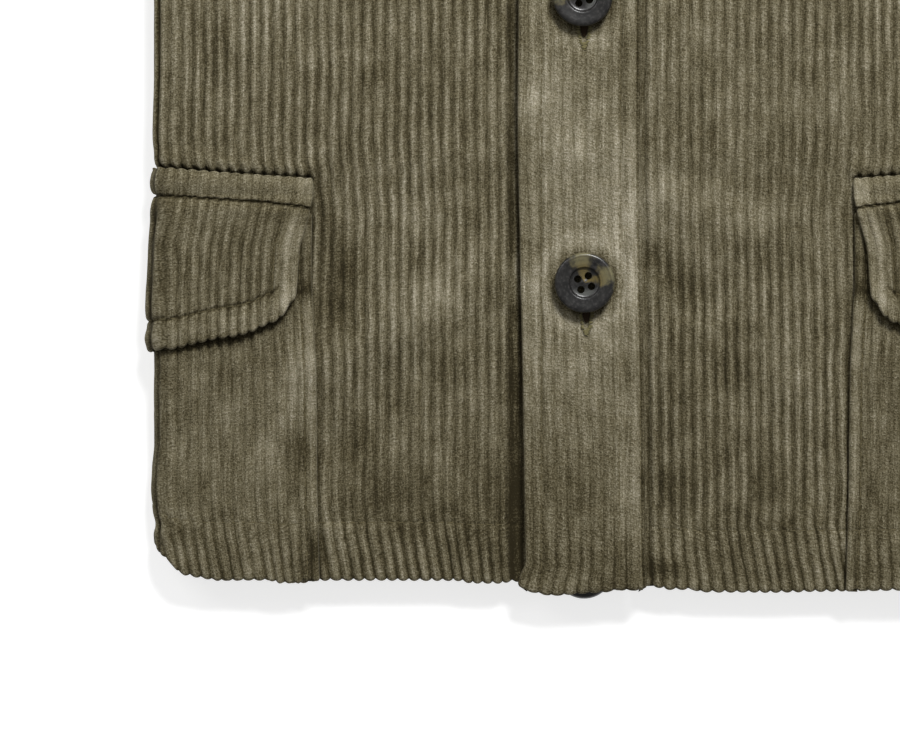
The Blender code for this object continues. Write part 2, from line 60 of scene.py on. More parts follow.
# The cloth
WALE, WALE_POCKET = 3.8, 3.61
RELIEF = 0.9
WALL, POCKET_WALL, PLACKET_WALL = 1.9, 1.8, 2.6
LEAST_WALL = 0.25
GAP = 0.3
SEAM_X, POCKET_END_X, FLAP_END_X = 5.0, 42.0, 39.0
FINE, COARSE = 8, 4  # points to a wale, where it shows and underneath
ALL_EDGES = ("hem", "top", "near", "far")

# Heights
FRONT_NECK, SIDE_NECK, BACK_NECK = 648.0, 718.0, 705.0
FOLD_SHOULDER, SHOULDER_TIP, UNDERARM = 697.0, 672.0, 440.0
NECK_HALF, FLAT_HALF, TIP_X = 70.0, 138.5, 59.0
SHOULDER_LEVEL = 690.0
POCKET_MOUTH, POCKET_LEVEL, FLAP_LEVEL = 121.5, 60.0, 110.0
HEM_STITCH, HEM_REACH = 18.5, 70.0

# Height, half width at the fold, underside, top
BODY = (
    (-12, 141.0, 2.1, 10.3), (18, 141.0, 2.1, 10.8), (45, 141.0, 2.3, 11.3), (70, 141.0, 4.3, 12.7),
    (92, 141.0, 4.6, 13.3), (115, 140.9, 4.9, 13.8), (135, 141.2, 5.3, 14.3), (141, 142.6, 5.9, 14.9),
    (147, 143.6, 5.9, 14.9), (320, 143.0, 7.0, 16.0), (590, 143.2, 7.0, 15.9), (760, 143.0, 7.0, 15.5),
)
# How the fold wanders in and out: height, distance
WANDER = (
    (-8, 0.3), (11, 0.3), (15, 0.8), (18.7, 0.0), (22, 0.9), (30, 1.6), (38, 1.1), (45, 0.4), (62, 0.5),
    (70, 0.2), (76, 0.3), (80, 1.1), (84.5, 0.3), (90, 1.2), (98, 0.8), (106, 0.4), (114, 0.1), (120, -0.6),
    (124, -0.3), (127.5, 0.2), (130, 1.1), (133, 0.9), (137, 0.4), (139, 1.3), (143, 0.6), (150, 0.4),
    (170, -0.1), (230, 0.4), (300, -0.3), (420, 0.4), (560, -0.3), (700, 0.0),
)
# Soft folds: ends x and v, x and v, half width, height
CREASES = (
    (-33, 99, -86, 74, 10, 1.0), (-90, 128, -81, 84, 7, -0.8), (-61, 70, -81, 43, 9, -0.7),
    (-95, 70, -109, 35, 8, 0.6), (28, 127, 56, 116, 8, 0.9), (24, 106, 44, 92, 7, -0.8),
)
# Smaller ones, which only the finish has
RUMPLES = (
    (-64, 66, -66, 60, 6, -0.35), (-76, 50, -79, 46, 5, -0.35), (-118, 58, -120, 54, 5, 0.35),
    (-96, 44, -97, 40, 6, -0.35), (-62, 22, -50, 14, 9, -0.35), (-88, 22, -84, 16, 6, 0.35),
    (-89, 12, -88, 8, 4, -0.5), (27, 30, 29, 12, 6, -0.6), (46, 74, 50, 66, 7, -0.35),
    (60, 90, 90, 40, 9, 0.4), (-30, 240, -110, 205, 12, 0.7), (40, 300, 110, 262, 13, 0.7),
    (-40, 420, -105, 455, 14, -0.6), (50, 470, 100, 520, 14, -0.6), (-95, 560, -60, 640, 14, 0.7),
    (95, 560, 62, 640, 14, 0.7), (-120, 330, -60, 350, 12, -0.5), (122, 380, 60, 395, 12, 0.5),
)
# The same, on the sleeves underneath
SLEEVE_FOLDS = (
    (30, 262, 90, 285, 8, 0.9), (120, 300, 70, 330, 9, 0.8), (20, 380, 75, 420, 10, 0.9),
    (125, 430, 60, 470, 9, 0.8), (40, 540, 100, 505, 10, 0.8), (118, 580, 50, 610, 10, 0.9),
)
# Where the pile is painted paler or darker. Mostly this is painted light on the soft folds' ridges and
# painted shade in their hollows. It also paints shade in the gap beside the placket's free edge, a highlight
# up the placket's right side, and a dark spot by the right pocket's lower corner. The placket is paler at its
# top and darker at its hem, partly from the lie of its pile and partly as painted light falling off down it.
# Columns: ends x and v, x and v, half width, amount
NAP_AND_SHADING = (
    (-89.4, 11, -89.8, 8, 1.6, -0.2), (-38, 98, -86, 73, 8, 0.16), (-90, 128, -80, 104, 5, -0.22),
    (-80, 104, -84, 80, 6, -0.18), (-66, 68, -64, 60, 7, -0.14), (-77, 52, -77, 46, 6, -0.14),
    (-96, 72, -96, 62, 5, 0.2), (-98, 58, -109, 35, 6, 0.12), (-120, 62, -116, 50, 7, 0.12),
    (-96, 44, -95, 38, 6, -0.16), (-70, 26, -30, 12, 16, -0.18), (-88, 24, -86, 18, 4, 0.12),
    (-89, 12, -88, 7, 4, -0.3), (-45, 140, -60, 120, 18, 0.08), (28, 130, 50, 120, 8, 0.19),
    (24, 107, 36, 97, 5, -0.18), (45, 76, 50, 68, 7, -0.14), (27, 33, 29, 26, 6, -0.16),
    (23, 4, 32, 3, 2.6, -0.22), (22, 60, 60, 20, 22, -0.12), (-22.6, -20, -22.6, 90, 2.4, -0.45),
    (-23.2, 110, -22.8, 640, 2.4, -0.34), (-12, 160, 14, 120, 15, 0.24), (-14, 96, 12, 60, 12, 0.06),
    (-10, 26, 10, -4, 20, -0.22), (12, 150, 13.5, 20, 2.2, 0.12), (-100, 200, -40, 260, 26, 0.1),
    (40, 330, 100, 300, 24, -0.12), (-110, 430, -50, 470, 26, -0.12), (60, 500, 110, 560, 26, 0.12),
)
# The hem's rise round the fold, by its place round the section
HEM_RISE = (
    (0.0, 0.0), (0.92, -0.2), (0.967, 0.9), (1.0, 1.8), (1.15, 2.8), (1.42, 7.4), (1.75, 11.4), (2.0, 14.0),
    (3.0, 16.0),
)
# The hem across the garment, at a distance from the middle
HEM_RIGHT = (
    (0, -0.2), (22, -0.2), (40, -0.2), (45, 0.7), (58, 0.8), (94, 0.9), (97, 0.1), (105, 0.1), (109, 1.1),
    (150, 0.7),
)
HEM_LEFT = ((0, -1.5), (22, -1.3), (26, -2.3), (34, -2.3), (36, -3.1), (60, -3.2), (100, -2.4), (150, -2.0))
# The placket: height, left edge, right edge, and its hem across it
PLACKET = (
    (0, -20.8, 20.8), (3.5, -19.9, 20.6), (7.5, -18.2, 20.3), (60, -19.0, 19.8), (147, -20.9, 18.3),
    (300, -20.0, 18.6), (660, -19.4, 19.4),
)
PLACKET_HEM = (
    (-21, -1.0), (-18.7, -2.7), (-15, -3.5), (-11, -4.2), (-7, -4.1), (0, -3.4), (8, -2.9), (11, -2.4),
    (20, -2.3), (21, -1.2),
)
PLACKET_SEAMS = (-13.9, 12.2)
PLACKET_WALES = 10
POCKET_EDGE = ((-8, 88.6), (30, 89.6), (70, 89.9), (100, 91.4), (140, 91.2))
# The flap: its upright edge by height, then its lower edge, hinge and stitching by their run
FLAP_EDGE = ((89, 97.6), (96, 96.0), (111, 95.2), (124, 91.6), (137, 90.4))
FLAP_HEM = (
    (95.5, 95.6), (97.0, 93.6), (98.6, 91.2), (100.0, 89.2), (102.0, 87.4), (105.7, 85.9), (110.3, 83.8),
    (115.0, 82.4), (123.3, 81.2), (129.3, 79.8), (135.7, 78.2), (142.0, 77.6), (150.0, 75.6), (170.0, 75.0),
    (225.0, 80.0), (260.0, 89.0),
)
FLAP_HINGE = ((90.3, 133.3), (115, 134.9), (141, 137.0), (300, 137.0))
FLAP_STITCH = ((91.3, 123.8), (93.3, 124.3), (109.3, 126.0), (127.7, 127.2), (142.3, 128.2), (300, 128.2))
FLAP_LIFT = ((123, 2.4), (128.5, 0.3))
# How far the two faces close up below the shoulder line
SQUEEZE = ((0, 0.45), (7, 0.28), (22, 0.0))

# How much the wales stand out, and how pale the pile is, by height
FRONT_PILE = ((0, 0.72), (12, 0.62), (26, 0.42), (45, 0.42), (60, 0.6), (110, 0.72))
LEFT_PILE = (
    (0, 1.0), (12, 1.0), (26, 1.8), (40, 1.7), (60, 1.2), (100, 1.0), (125, 0.55), (160, 0.7), (200, 1.0),
)
POCKET_PILE = ((0, 0.46), (11, 0.38), (27, 0.22), (40, 0.2), (100, 0.24))
FRONT_TONE = ((0, 0.0), (25, -0.01), (60, -0.02), (140, -0.03))
LEFT_TONE = ((0, -0.01), (60, 0.03), (110, 0.0), (160, 0.02))
PLACKET_TONE = ((0, 0.07), (60, 0.09), (110, 0.07), (160, -0.01), (300, 0.02))

# Rows of points up a cloth: first, last, step
FRONT_ROWS = (
    (0, 17, 1.3), (17, 20, 0.4), (20, 131, 1.6), (131, 139, 0.5), (139, 150, 1.6), (150, 706, 6.0),
    (706, SIDE_NECK, 2.0),
)
POCKET_ROWS = ((0, 17, 1.3), (17, 20, 0.4), (20, POCKET_MOUTH, 1.6))
FLAP_ROWS = (
    (0, 0.1, 0.012), (0.1, 0.2, 0.008), (0.2, 0.752, 0.024), (0.752, 0.848, 0.006), (0.848, 0.98, 0.0165),
    (0.98, 1.0, 0.005),
)

# Height, inner edge, outer edge, thickness
SLEEVE = (
    (207.3, 24, 132, 5.6), (300, 17, 135, 6.2), (450, 11, 137, 6.6), (560, 8, 138, 6.6), (600, 8, 138, 6.6),
)
SLEEVE_TOP, SLEEVE_SLANT, SLANT_FROM = 693.0, 0.45, 600.0
SLEEVE_WALES = 73
CUFF = (20.0, 136.0, 5.0)
CUFF_END, CUFF_SEAM, CUFF_DEPTH, CUFF_WALES = 146.0, 207.0, 38.0, 16
# Inside the cuff's mouth: wales on from its rim, width, thickness, height
CUFF_MOUTH = (
    (-0.3, 0.985, 0.75, 146.0), (-0.6, 0.97, 0.45, 146.3), (-1, 0.955, 0.25, 147.5), (-3, 0.95, 0.16, 155.0),
    (-10, 0.95, 0.16, CUFF_END + CUFF_DEPTH),
)

# The right half of the collar: roll, bend and outer edge, from its front point to the middle of the back
COLLAR = (
    ((5, 678, 23.8), (27, 645, 23.5), (48, 612, 18.1)), ((22, 681, 24.2), (45, 660, 25.5), (68, 640, 18.1)),
    ((42, 693, 26.2), (66, 683, 28.0), (87, 667, 18.1)),
    ((58, 711, 28.0), (83, 706, 29.0), (99, 691, 18.0)),
    ((67, 727, 27.6), (90, 729, 26.0), (105, 712, 15.2)),
    ((64, 737, 25.0), (82, 745, 15.0), (94, 726, 7.6)), ((50, 739, 23.6), (62, 750, 11.0), (72, 718, 3.6)),
    ((24, 739, 22.4), (28, 751, 7.0), (34, 709, 2.2)), ((0, 738.5, 22.0), (0, 750, 6.0), (0, 706, 2.0)),
)
COLLAR_WALL, COLLAR_WALES = 3.0, 11
# Round the neck: the stand's seam and its upper edge
STAND = (
    ((17, 649.6, 15.6), (16, 675, 16.8)), ((0, 649.2, 15.5), (0, 674, 16.9)),
    ((-20, 652.6, 15.9), (-22, 679, 19.0)), ((-40, 668.4, 16.0), (-42, 692, 22.0)),
    ((-58, 694.6, 15.9), (-57, 709, 24.0)), ((-66.4, 714.0, 16.0), (-65, 725, 23.6)),
    ((-61, 720.6, 14.9), (-61, 733.5, 21.0)), ((-35, 710.0, 12.9), (-36, 734.5, 19.2)),
    ((0, 704.6, 11.8), (0, 733.5, 18.4)), ((35, 710.0, 12.9), (36, 734.5, 19.2)),
    ((61, 720.6, 14.9), (61, 733.5, 21.0)), ((66.4, 714.0, 16.0), (65, 725, 23.6)),
    ((58, 694.6, 15.9), (57, 709, 24.0)), ((40, 668.4, 16.2), (42, 692, 22.4)),
    ((20, 652.6, 17.6), (22, 679, 20.6)), ((0, 649.2, 18.5), (0, 674, 20.2)),
    ((-17, 649.6, 18.6), (-16, 675, 20.0)),
)
STAND_WALL, STAND_WALES, STAND_RIM = 2.4, 6, 5

# The back's tube: half the way round it, and the parts of that which show in the neck and at the seam
BACK_HALF, BACK_NECK_SHOWS, BACK_SEAM_SHOWS = 291.4, 64, 274
BACK_ROWS = ((14, 120, 6.0), (120, 690, 10.0), (690, SIDE_NECK, 2.5))
BACK_COLUMNS = ((0, 62, 0.6), (62, 134, 6.0), (134, 158, 1.5), (158, 276, 6.0), (276, BACK_HALF, 0.6))

BUTTON_D, HOLE_D, HOLE_OUT, HOLE_TURN = 20.0, 2.5, 2.6, math.radians(17)
BUTTONS = [f"button_{i}" for i in range(1, 7)] + ["button_collar", "button_spare"]
# A button's outline, from its middle underneath to its middle on top: share of its radius, height
BUTTON_OUTLINE = (
    (0.0, 0.0), (0.72, 0.0), (0.9, 0.05), (0.965, 0.6), (0.99, 1.7), (1.0, 2.2), (0.992, 2.75),
    (0.965, 3.15), (0.925, 3.36), (0.88, 3.4), (0.8, 3.32), (0.7, 3.2), (0.6, 3.12), (0.555, 3.1),
    (0.53, 3.02), (0.515, 2.85), (0.505, 2.55), (0.49, 2.25), (0.46, 2.05), (0.4, 1.96), (0.14, 1.92),
    (0.1, 2.0), (0.06, 2.16), (0.0, 2.24),
)


# Numbers over a surface


def read(table, where, column=1):
    """One column of a table, read straight between its rows."""
    rows = np.array(table, float)
    return np.interp(where, rows[:, 0], rows[:, column])


def smooth_table(table, reach):
    """The same table, closer together and with its corners rounded over a reach."""
    rows = np.array(table, float)
    where = np.arange(rows[0, 0], rows[-1, 0] + 1, 1.0)
    kernel = np.hanning(2 * reach + 3)
    kernel /= kernel.sum()
    columns = [where]
    for k in range(1, rows.shape[1]):
        line = read(table, where, k)
        columns.append(np.convolve(np.pad(line, reach + 1, mode="edge"), kernel, "valid"))
    return np.stack(columns, 1)


def unit(value):
    """A value held between 0 and 1."""
    return np.clip(value, 0, 1)


def hump(away, half, power=2):
    """1 where away is 0, falling off over half a width on each side."""
    return np.exp(-((away / half) ** power))


def normal_length(ways):
    return ways / np.maximum(np.linalg.norm(ways, axis=-1, keepdims=True), 1e-9)


def length_to(line):
    """The length of a line up to each of its points."""
    return np.concatenate(((0,), np.cumsum(np.linalg.norm(np.diff(line, axis=0), axis=-1))))


def drift(seed, a, b, size_a, size_b):
    """Even random values from -1 to 1, that change over size_a and size_b."""
    grid = np.random.default_rng(seed).uniform(-1, 1, (64, 64))
    a, b = np.broadcast_arrays(a / size_a + 1000.3, b / size_b + 1000.7)
    i, j = np.floor(a).astype(int), np.floor(b).astype(int)
    s, t = a - i, b - j
    s, t = s * s * (3 - 2 * s), t * t * (3 - 2 * t)

    def corner(p, q):
        return grid[p % 64, q % 64]

    low = corner(i, j) * (1 - s) + corner(i + 1, j) * s
    return low * (1 - t) + (corner(i, j + 1) * (1 - s) + corner(i + 1, j + 1) * s) * t


def off_line(x, v, x0, v0, x1, v1):
    """How far a place is from the straight line between two others."""
    dx, dv = x1 - x0, v1 - v0
    along = unit(((x - x0) * dx + (v - v0) * dv) / (dx * dx + dv * dv))
    return np.hypot(x - x0 - along * dx, v - v0 - along * dv)


def ridge(x, v, folds):
    """The lift of soft folds at places on the cloth."""
    lift = np.zeros(np.broadcast(x, v).shape)
    for *ends, half, height in folds:
        lift += height * hump(off_line(x, v, *ends), half)
    return lift


def dent(x, v, line, up, half):
    """1 on a line of points moved up, falling off over half a width on each side."""
    best = np.full(np.broadcast(x, v).shape, 1e9)
    for (x0, v0), (x1, v1) in zip(line, line[1:]):
        best = np.minimum(best, off_line(x, v, x0, v0 + up, x1, v1 + up))
    return hump(best, half)


def steps(*spans):
    """Values over several spans, each with its own step: (first, last, step), ..."""
    made = [np.arange(a, b - step * 0.5, step) for a, b, step in spans]
    return np.concatenate((*made, [spans[-1][1]]))


def rows_over(across, spans):
    """A cloth's rows as a grid, as wide as its columns."""
    rows = steps(*spans)[:, None]
    return np.broadcast_to(rows, (len(rows), across.shape[1]))


def hand(side):
    return "right" if side < 0 else "left"


# The folded body

BODY_FINE, WANDER_FINE = smooth_table(BODY, 3), smooth_table(WANDER, 1)


def body_at(v):
    """The section at a height: half its width, its underside, its radius and half its flat width."""
    fold, under, top = (read(BODY_FINE, v, k) for k in (1, 2, 3))
    fold = fold + read(WANDER_FINE, v)
    radius = (top - under) / 2
    return fold, under, radius, fold - radius


def girth(v, end_x):
    """The run from the middle of the front to end_x underneath."""
    _, _, radius, flat = body_at(v)
    return 2 * flat + math.pi * radius - end_x


def lay(side, run, v, out, drop=None, folds=True):
    """Points on the folded body, at a run round it and out from it."""
    run, v, out = np.broadcast_arrays(run, v, out)
    _, under, radius, flat = body_at(v)
    over = np.clip(run, 0, flat)
    turn = np.clip((run - flat) / radius, 0, math.pi)
    back = np.maximum(run - flat - math.pi * radius, 0)
    x = over + (radius + out) * np.sin(turn) - back
    z = under + radius + (radius + out) * np.cos(turn)
    if folds:
        fade = unit(8 * (1 - over / flat))
        z = z + ridge(side * over, v, CREASES + RUMPLES) * fade
        z = z + 0.22 * fade * drift(11, side * over, v, 14, 22)
    else:
        z = z - 0.9 * (turn == 0)
    if drop is not None:
        z = under + radius + (z - under - radius) * (1 - read(SQUEEZE, drop) * unit(1 - back / flat))
    return np.stack((side * x, v, z), -1)


def place_at(run, v=10.0):
    """How far round the section a run is: 0 to 1 on top, to 2 round the fold, to 3 underneath."""
    _, _, radius, flat = body_at(v)
    over = np.minimum(run, flat) / flat
    turn = np.clip((run - flat) / radius, 0, math.pi) / math.pi
    return over + turn + np.maximum(run - flat - math.pi * radius, 0) / flat


def neck_and_shoulder(run, neck_low, power):
    """The upper end, first the neckline and then the shoulder, with the place round the section and x."""
    place = place_at(run, SHOULDER_LEVEL)
    x = np.where(place <= 1, place, unit(3 - place)) * FLAT_HALF
    neck = neck_low + (SIDE_NECK - neck_low) * (np.minimum(x, NECK_HALF) / NECK_HALF) ** power
    shoulder = SIDE_NECK - (SIDE_NECK - FOLD_SHOULDER) * (x - NECK_HALF) / (FLAT_HALF - NECK_HALF)
    return np.where(x < NECK_HALF, neck, shoulder), place, x


def front_top(run):
    """A front's upper end, with the folded shoulder and the armhole underneath."""
    top, place, x = neck_and_shoulder(run, FRONT_NECK, 2.4)
    under = FOLD_SHOULDER - (FOLD_SHOULDER - SHOULDER_TIP) * (FLAT_HALF - x) / (FLAT_HALF - TIP_X)
    armhole = SHOULDER_TIP - (SHOULDER_TIP - UNDERARM) * (1 - np.minimum(x, TIP_X) / TIP_X) ** 0.7
    below = np.where(x > TIP_X, under, armhole)
    return np.where(place <= 1, top, np.where(place <= 2, FOLD_SHOULDER, below))


def up_to(top, v, run, low):
    """Heights which end at the garment's upper end, and how far below it each lies, beyond the neck."""
    stretched = VIEW_TOP + (v - VIEW_TOP) * (top - VIEW_TOP) / (SIDE_NECK - VIEW_TOP)
    drop = np.where(place_at(run) > NECK_HALF / FLAT_HALF, SIDE_NECK - v, 99.0)
    return np.where(v < VIEW_TOP, low, stretched), drop


def hem_at(side, run):
    """The hem's height at a run, with its rise round the fold."""
    return read(HEM_RIGHT if side < 0 else HEM_LEFT, run) + read(HEM_RISE, place_at(run))


def columns(start, level, end_x, wale, beyond):
    """Wale counts across a cloth which goes round the fold, fine up to beyond it and then coarse.

    Then the same as shares of its width, the run at its end, and its wales up to beyond the fold and in all.
    """
    end = girth(level, end_x)
    over, count = (body_at(level)[3] + beyond - start) / wale, (end - start) / wale
    fine, coarse = round(over) * FINE, np.arange(round(over) * COARSE, round(count) * COARSE + 1)
    across = np.concatenate((np.arange(0, fine) / FINE, coarse / COARSE))[None, :]
    return across, across / across.max(), end, over, count


def weave_out(across, v, seed, strength=1.0, relief=RELIEF, fullness=0.75):
    """How far a face lies below the tops of its wales, and its relief, 0 in a groove to 1 on a wale."""
    moved = across + 0.05 * drift(seed + 2, across, v, 1.0, 2.6)
    h = unit(np.cos(np.pi * (moved - np.round(moved)))) ** fullness
    uneven = 1 + 0.14 * drift(seed, across, v, 1.3, 17) + 0.12 * drift(seed + 1, across, v, 1.0, 3.2)
    return -relief * (1 - h * uneven) * (0.35 + 0.65 * strength), h


def patchy(x, v, seed, strength):
    """Where the wales stand out more or less: strength, spread unevenly over the cloth."""
    uneven = 0.32 * drift(seed, x, v, 11, 17) + 0.22 * drift(seed + 1, x, v, 5, 8)
    return np.clip(strength * (1 + uneven), 0.12, 1.3)


def nap_and_shading_at(x, v, seed):
    """How pale the pile is: its own random mottle, plus the table's painted light and shade on the folds."""
    mottle = 0.055 * drift(seed, x, v, 9, 13) + 0.04 * drift(seed + 1, x, v, 4.2, 5.5)
    return mottle + 0.03 * drift(seed + 2, x, v, 2, 2.6) + 0.75 * ridge(x, v, NAP_AND_SHADING)


def wander_across(across, v, seed, size=0.3):
    """How wales stray sideways."""
    return size * drift(seed, across, v, 2.6, 26) + 0.4 * size * drift(seed + 1, across, v, 1.1, 9)


def inside_ends(share, near=8, far=12):
    """0 at the near and far edge of a cloth, 1 a little inside them."""
    return unit(near * share) * unit(far * (1 - share))


def scallop(h, v, size=0.5):
    """How far a raw edge dips at its wales, fading with v, the way from it."""
    return size * (h - 0.5) * np.exp(-v / 2.5)


def fold_groove(run, v, out):
    """1 in the groove which shows just inside the folded edge."""
    _, _, radius, flat = body_at(v)
    groove = flat + radius * np.arcsin(1 - 1.6 / (radius + out))
    return hump(run - groove, 0.5)


# Cloth as grids of points


class Cloth:
    """Points of a cloth's outer face, and the way through it to its other face.

    Each point has a count of wales across, a length up, how far its wales stand out, and how pale it is with
    the light and shade painted on it.
    """

    def __init__(self, points, inward, across, along, pile=1.0, nap=0.0):
        self.points, self.inward = points, inward
        self.across, self.along, self.pile, self.nap = np.broadcast_arrays(across, along, pile, nap)

    def grids(self):
        return self.points, self.inward, self.across, self.along, self.pile, self.nap

    def turned(self, edge, wale=WALE, steps=4, tuck=3.0, bulge=0.55):
        """The same cloth with one edge rolled round its own thickness and tucked in."""
        swap, flip = edge in ("near", "far"), edge in ("top", "far")

        def facing(grid):
            grid = grid.swapaxes(0, 1) if swap else grid
            return grid[::-1] if flip else grid

        def back(grid):
            grid = grid[::-1] if flip else grid
            return grid.swapaxes(0, 1) if swap else grid

        p, t, a, b, *looks = (facing(grid) for grid in self.grids())
        looks = [np.concatenate((np.repeat(look[:1], steps + 1, 0), look)) for look in looks]
        away = normal_length(p[0] - p[1])
        thick = np.linalg.norm(t[0], axis=-1, keepdims=True)
        spots, ways, counts, lengths = [], [], [], []
        for k in range(steps + 1, 0, -1):
            angle = math.pi * min(k, steps) / steps
            spot = p[0] + t[0] * (1 - math.cos(angle)) / 2 + away * thick * bulge * math.sin(angle)
            far = 0.7 * min(k, steps)
            if k > steps:
                spot, far = spot - away * tuck, far + tuck
            spots.append(spot)
            ways.append(t[0] * max(0, math.cos(angle)))
            counts.append(a[0] + (np.sign(a[0] - a[1]) * far / wale if swap else 0))
            lengths.append(b[0] + (0 if swap else np.sign(b[0] - b[1]) * far))
        added = ((spots, p), (ways, t), (counts, a), (lengths, b))
        joined = [np.concatenate((np.array(new), old)) for new, old in added]
        return Cloth(*(back(grid) for grid in joined + looks))

    def hemmed(self, edges=ALL_EDGES, **how):
        """The same cloth with several edges turned."""
        cloth = self
        for edge in edges:
            cloth = cloth.turned(edge, **how)
        return cloth

    def mirrored(self, side):
        """Columns from the viewer's left to right, so that the face points out on both sides."""
        return self if side > 0 else Cloth(*(grid[:, ::-1] for grid in self.grids()))


def add_object(name, data):
    made = bpy.data.objects.new(name, data)
    bpy.context.scene.collection.objects.link(made)
    return made


def as_mesh(bm, name):
    """A bmesh as a new mesh."""
    mesh = bpy.data.meshes.new(name)
    bm.to_mesh(mesh)
    bm.free()
    return mesh


def read_mesh(mesh):
    """A mesh's points, and the number of the point at each corner of its faces."""
    spots, corners = np.empty(len(mesh.vertices) * 3), np.empty(len(mesh.loops), int)
    mesh.vertices.foreach_get("co", spots)
    mesh.loops.foreach_get("vertex_index", corners)
    return spots.reshape(-1, 3), corners


def move_mesh(mesh, spots, layer, flat):
    """Gives a mesh its points, and its corners their places in a new flat layer."""
    mesh.vertices.foreach_set("co", spots.ravel())
    mesh.uv_layers.new(name=layer).data.foreach_set("uv", flat.ravel())


def place(name, mesh, finish):
    """A piece of the garment."""
    made = add_object(name, mesh)
    mesh.materials.append(finish)
    mesh.shade_smooth()
    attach(made, "root")
    return made


def stand_for(node, name, mesh, finish):
    """A piece of the garment which stands for a solid."""
    made = place(name, mesh, finish)
    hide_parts(node)
    return made


def spread(name, cloth, finish, node, wale=WALE):
    """A cloth's points as a mesh, from a grid of as many rows and columns."""
    rows, columns = cloth.across.shape
    bm = bmesh.new()
    bmesh.ops.create_grid(bm, x_segments=columns - 1, y_segments=rows - 1, size=1)
    mesh = as_mesh(bm, name)
    spots, corners = read_mesh(mesh)
    c = np.rint((spots[:, 0] + 1) / 2 * (columns - 1)).astype(int)
    r = np.rint((spots[:, 1] + 1) / 2 * (rows - 1)).astype(int)
    lengths = np.stack((cloth.across, cloth.along / wale), -1)[r, c][corners]
    move_mesh(mesh, (cloth.points[r, c] - (0, MIDDLE, 0)) * MM, "cloth", lengths)
    for kind, grid in (("pile", cloth.pile), ("nap", cloth.nap)):
        mesh.attributes.new(kind, "FLOAT", "POINT").data.foreach_set("value", grid[r, c].astype(np.float32))
    mesh.update()
    return stand_for(node, name + "_cloth", mesh, finish)


def front(side, finish):
    """One front: beside the placket, over the top, round the fold and back underneath to its side seam."""
    right, name = side < 0, "front_" + hand(side)
    seed, start = (0, 15.0) if right else (10, 19.2)
    across, share, end, _, _ = columns(start, VIEW_TOP, SEAM_X, WALE, 14.0)
    v = rows_over(across, FRONT_ROWS)
    run = start + (end - start) * share + 0 * v
    low = v + hem_at(side, run) * unit(1 - v / HEM_REACH)
    height, drop = up_to(front_top(run), v, run, low)
    near = start if right else read(PLACKET, height, 2) + GAP
    run = near + (girth(height, SEAM_X) - near) * share
    free = inside_ends(share)
    run = run + free * (side * 3.2 * unit(1 - v / 20) + wander_across(across, v, 21 + seed))
    if not right:
        run = run + free * 1.1 * np.exp(-(((run - 33) / 9) ** 2) - ((v - 90) / 12) ** 2)
    strength = patchy(side * run, height, 43 + seed, read(FRONT_PILE, height))
    if not right:
        strength = strength * read(LEFT_PILE, height)
    out, h = weave_out(across, v, 41 + seed, strength)
    height = height - scallop(h, v)
    phase = across - np.round(across)
    stitch = hump(v - HEM_STITCH + 0.9 * phase, 0.7)
    out = out - stitch * 0.25 * (0.2 + h) - 0.2 * hump(v - HEM_STITCH, 4) * h
    out = out - 0.5 * h * hump(SIDE_NECK - v - 1.5, 1.2)
    hinge = FLAP_HINGE[:3]
    tooth = height + 0.45 * np.cos(2 * np.pi * phase) + 0.5 * phase
    out = out - 1.1 * dent(run, tooth, hinge, 0.6, 0.6)
    out = out + 0.75 * dent(run, height, hinge, 3.6, 2.4)
    nap = nap_and_shading_at(side * run, height, 47 + seed) + read(FRONT_TONE, height)
    # Painted shade in the groove along the flap's seam, and a painted shadow along the pocket's edge.
    nap = nap - 0.45 * dent(run, tooth, hinge, 0.8, 0.7)
    beside = read(POCKET_EDGE, height) - run - 0.9
    nap = nap - 0.2 * hump(beside, 0.8) * (height < POCKET_MOUTH)
    if not right:
        nap = nap + read(LEFT_TONE, height)
    # The groove just inside the folded edge dips, and painted shade darkens it.
    edge = fold_groove(run, height, 0.0)
    out, nap = out - 0.5 * edge, nap - 0.4 * edge
    if right:
        out = out - 1.2 * hump(run - 22.6, 3.1, 4) * unit((700 - height) / 60)
    else:
        out = out - 0.6 * hump(run - near, 2.0)
    out = np.maximum(out, LEAST_WALL - WALL)
    outer = lay(side, run, height, out, drop)
    inner = lay(side, run, height, -WALL + 0 * out, drop)
    cloth = Cloth(outer, inner - outer, across, height, strength, nap)
    spots, ways = line_where(v - HEM_STITCH + 0 * across, cloth)
    shown = np.abs(spots[:, 0]) > 26
    sew(f"stitches_hem_{name}", thread, [(spots[shown], ways[shown])])
    return spread(name, cloth.hemmed().mirrored(side), finish, name)


def patch(side, run, height, lift, groove_out, out, across, strength, nap):
    """A cloth sewn on the front, at a lift off it, with its groove beside the fold, where shade is painted
    too.
    """
    edge = fold_groove(run, height, groove_out)
    # The fold groove dips, with painted shade in it.
    out, nap = np.maximum(out - 0.6 * edge, LEAST_WALL - POCKET_WALL), nap - 0.45 * edge
    outer = lay(side, run, height, lift + POCKET_WALL + out)
    inner = lay(side, run, height, lift + 0 * out)
    return Cloth(outer, inner - outer, across, height, strength, nap)


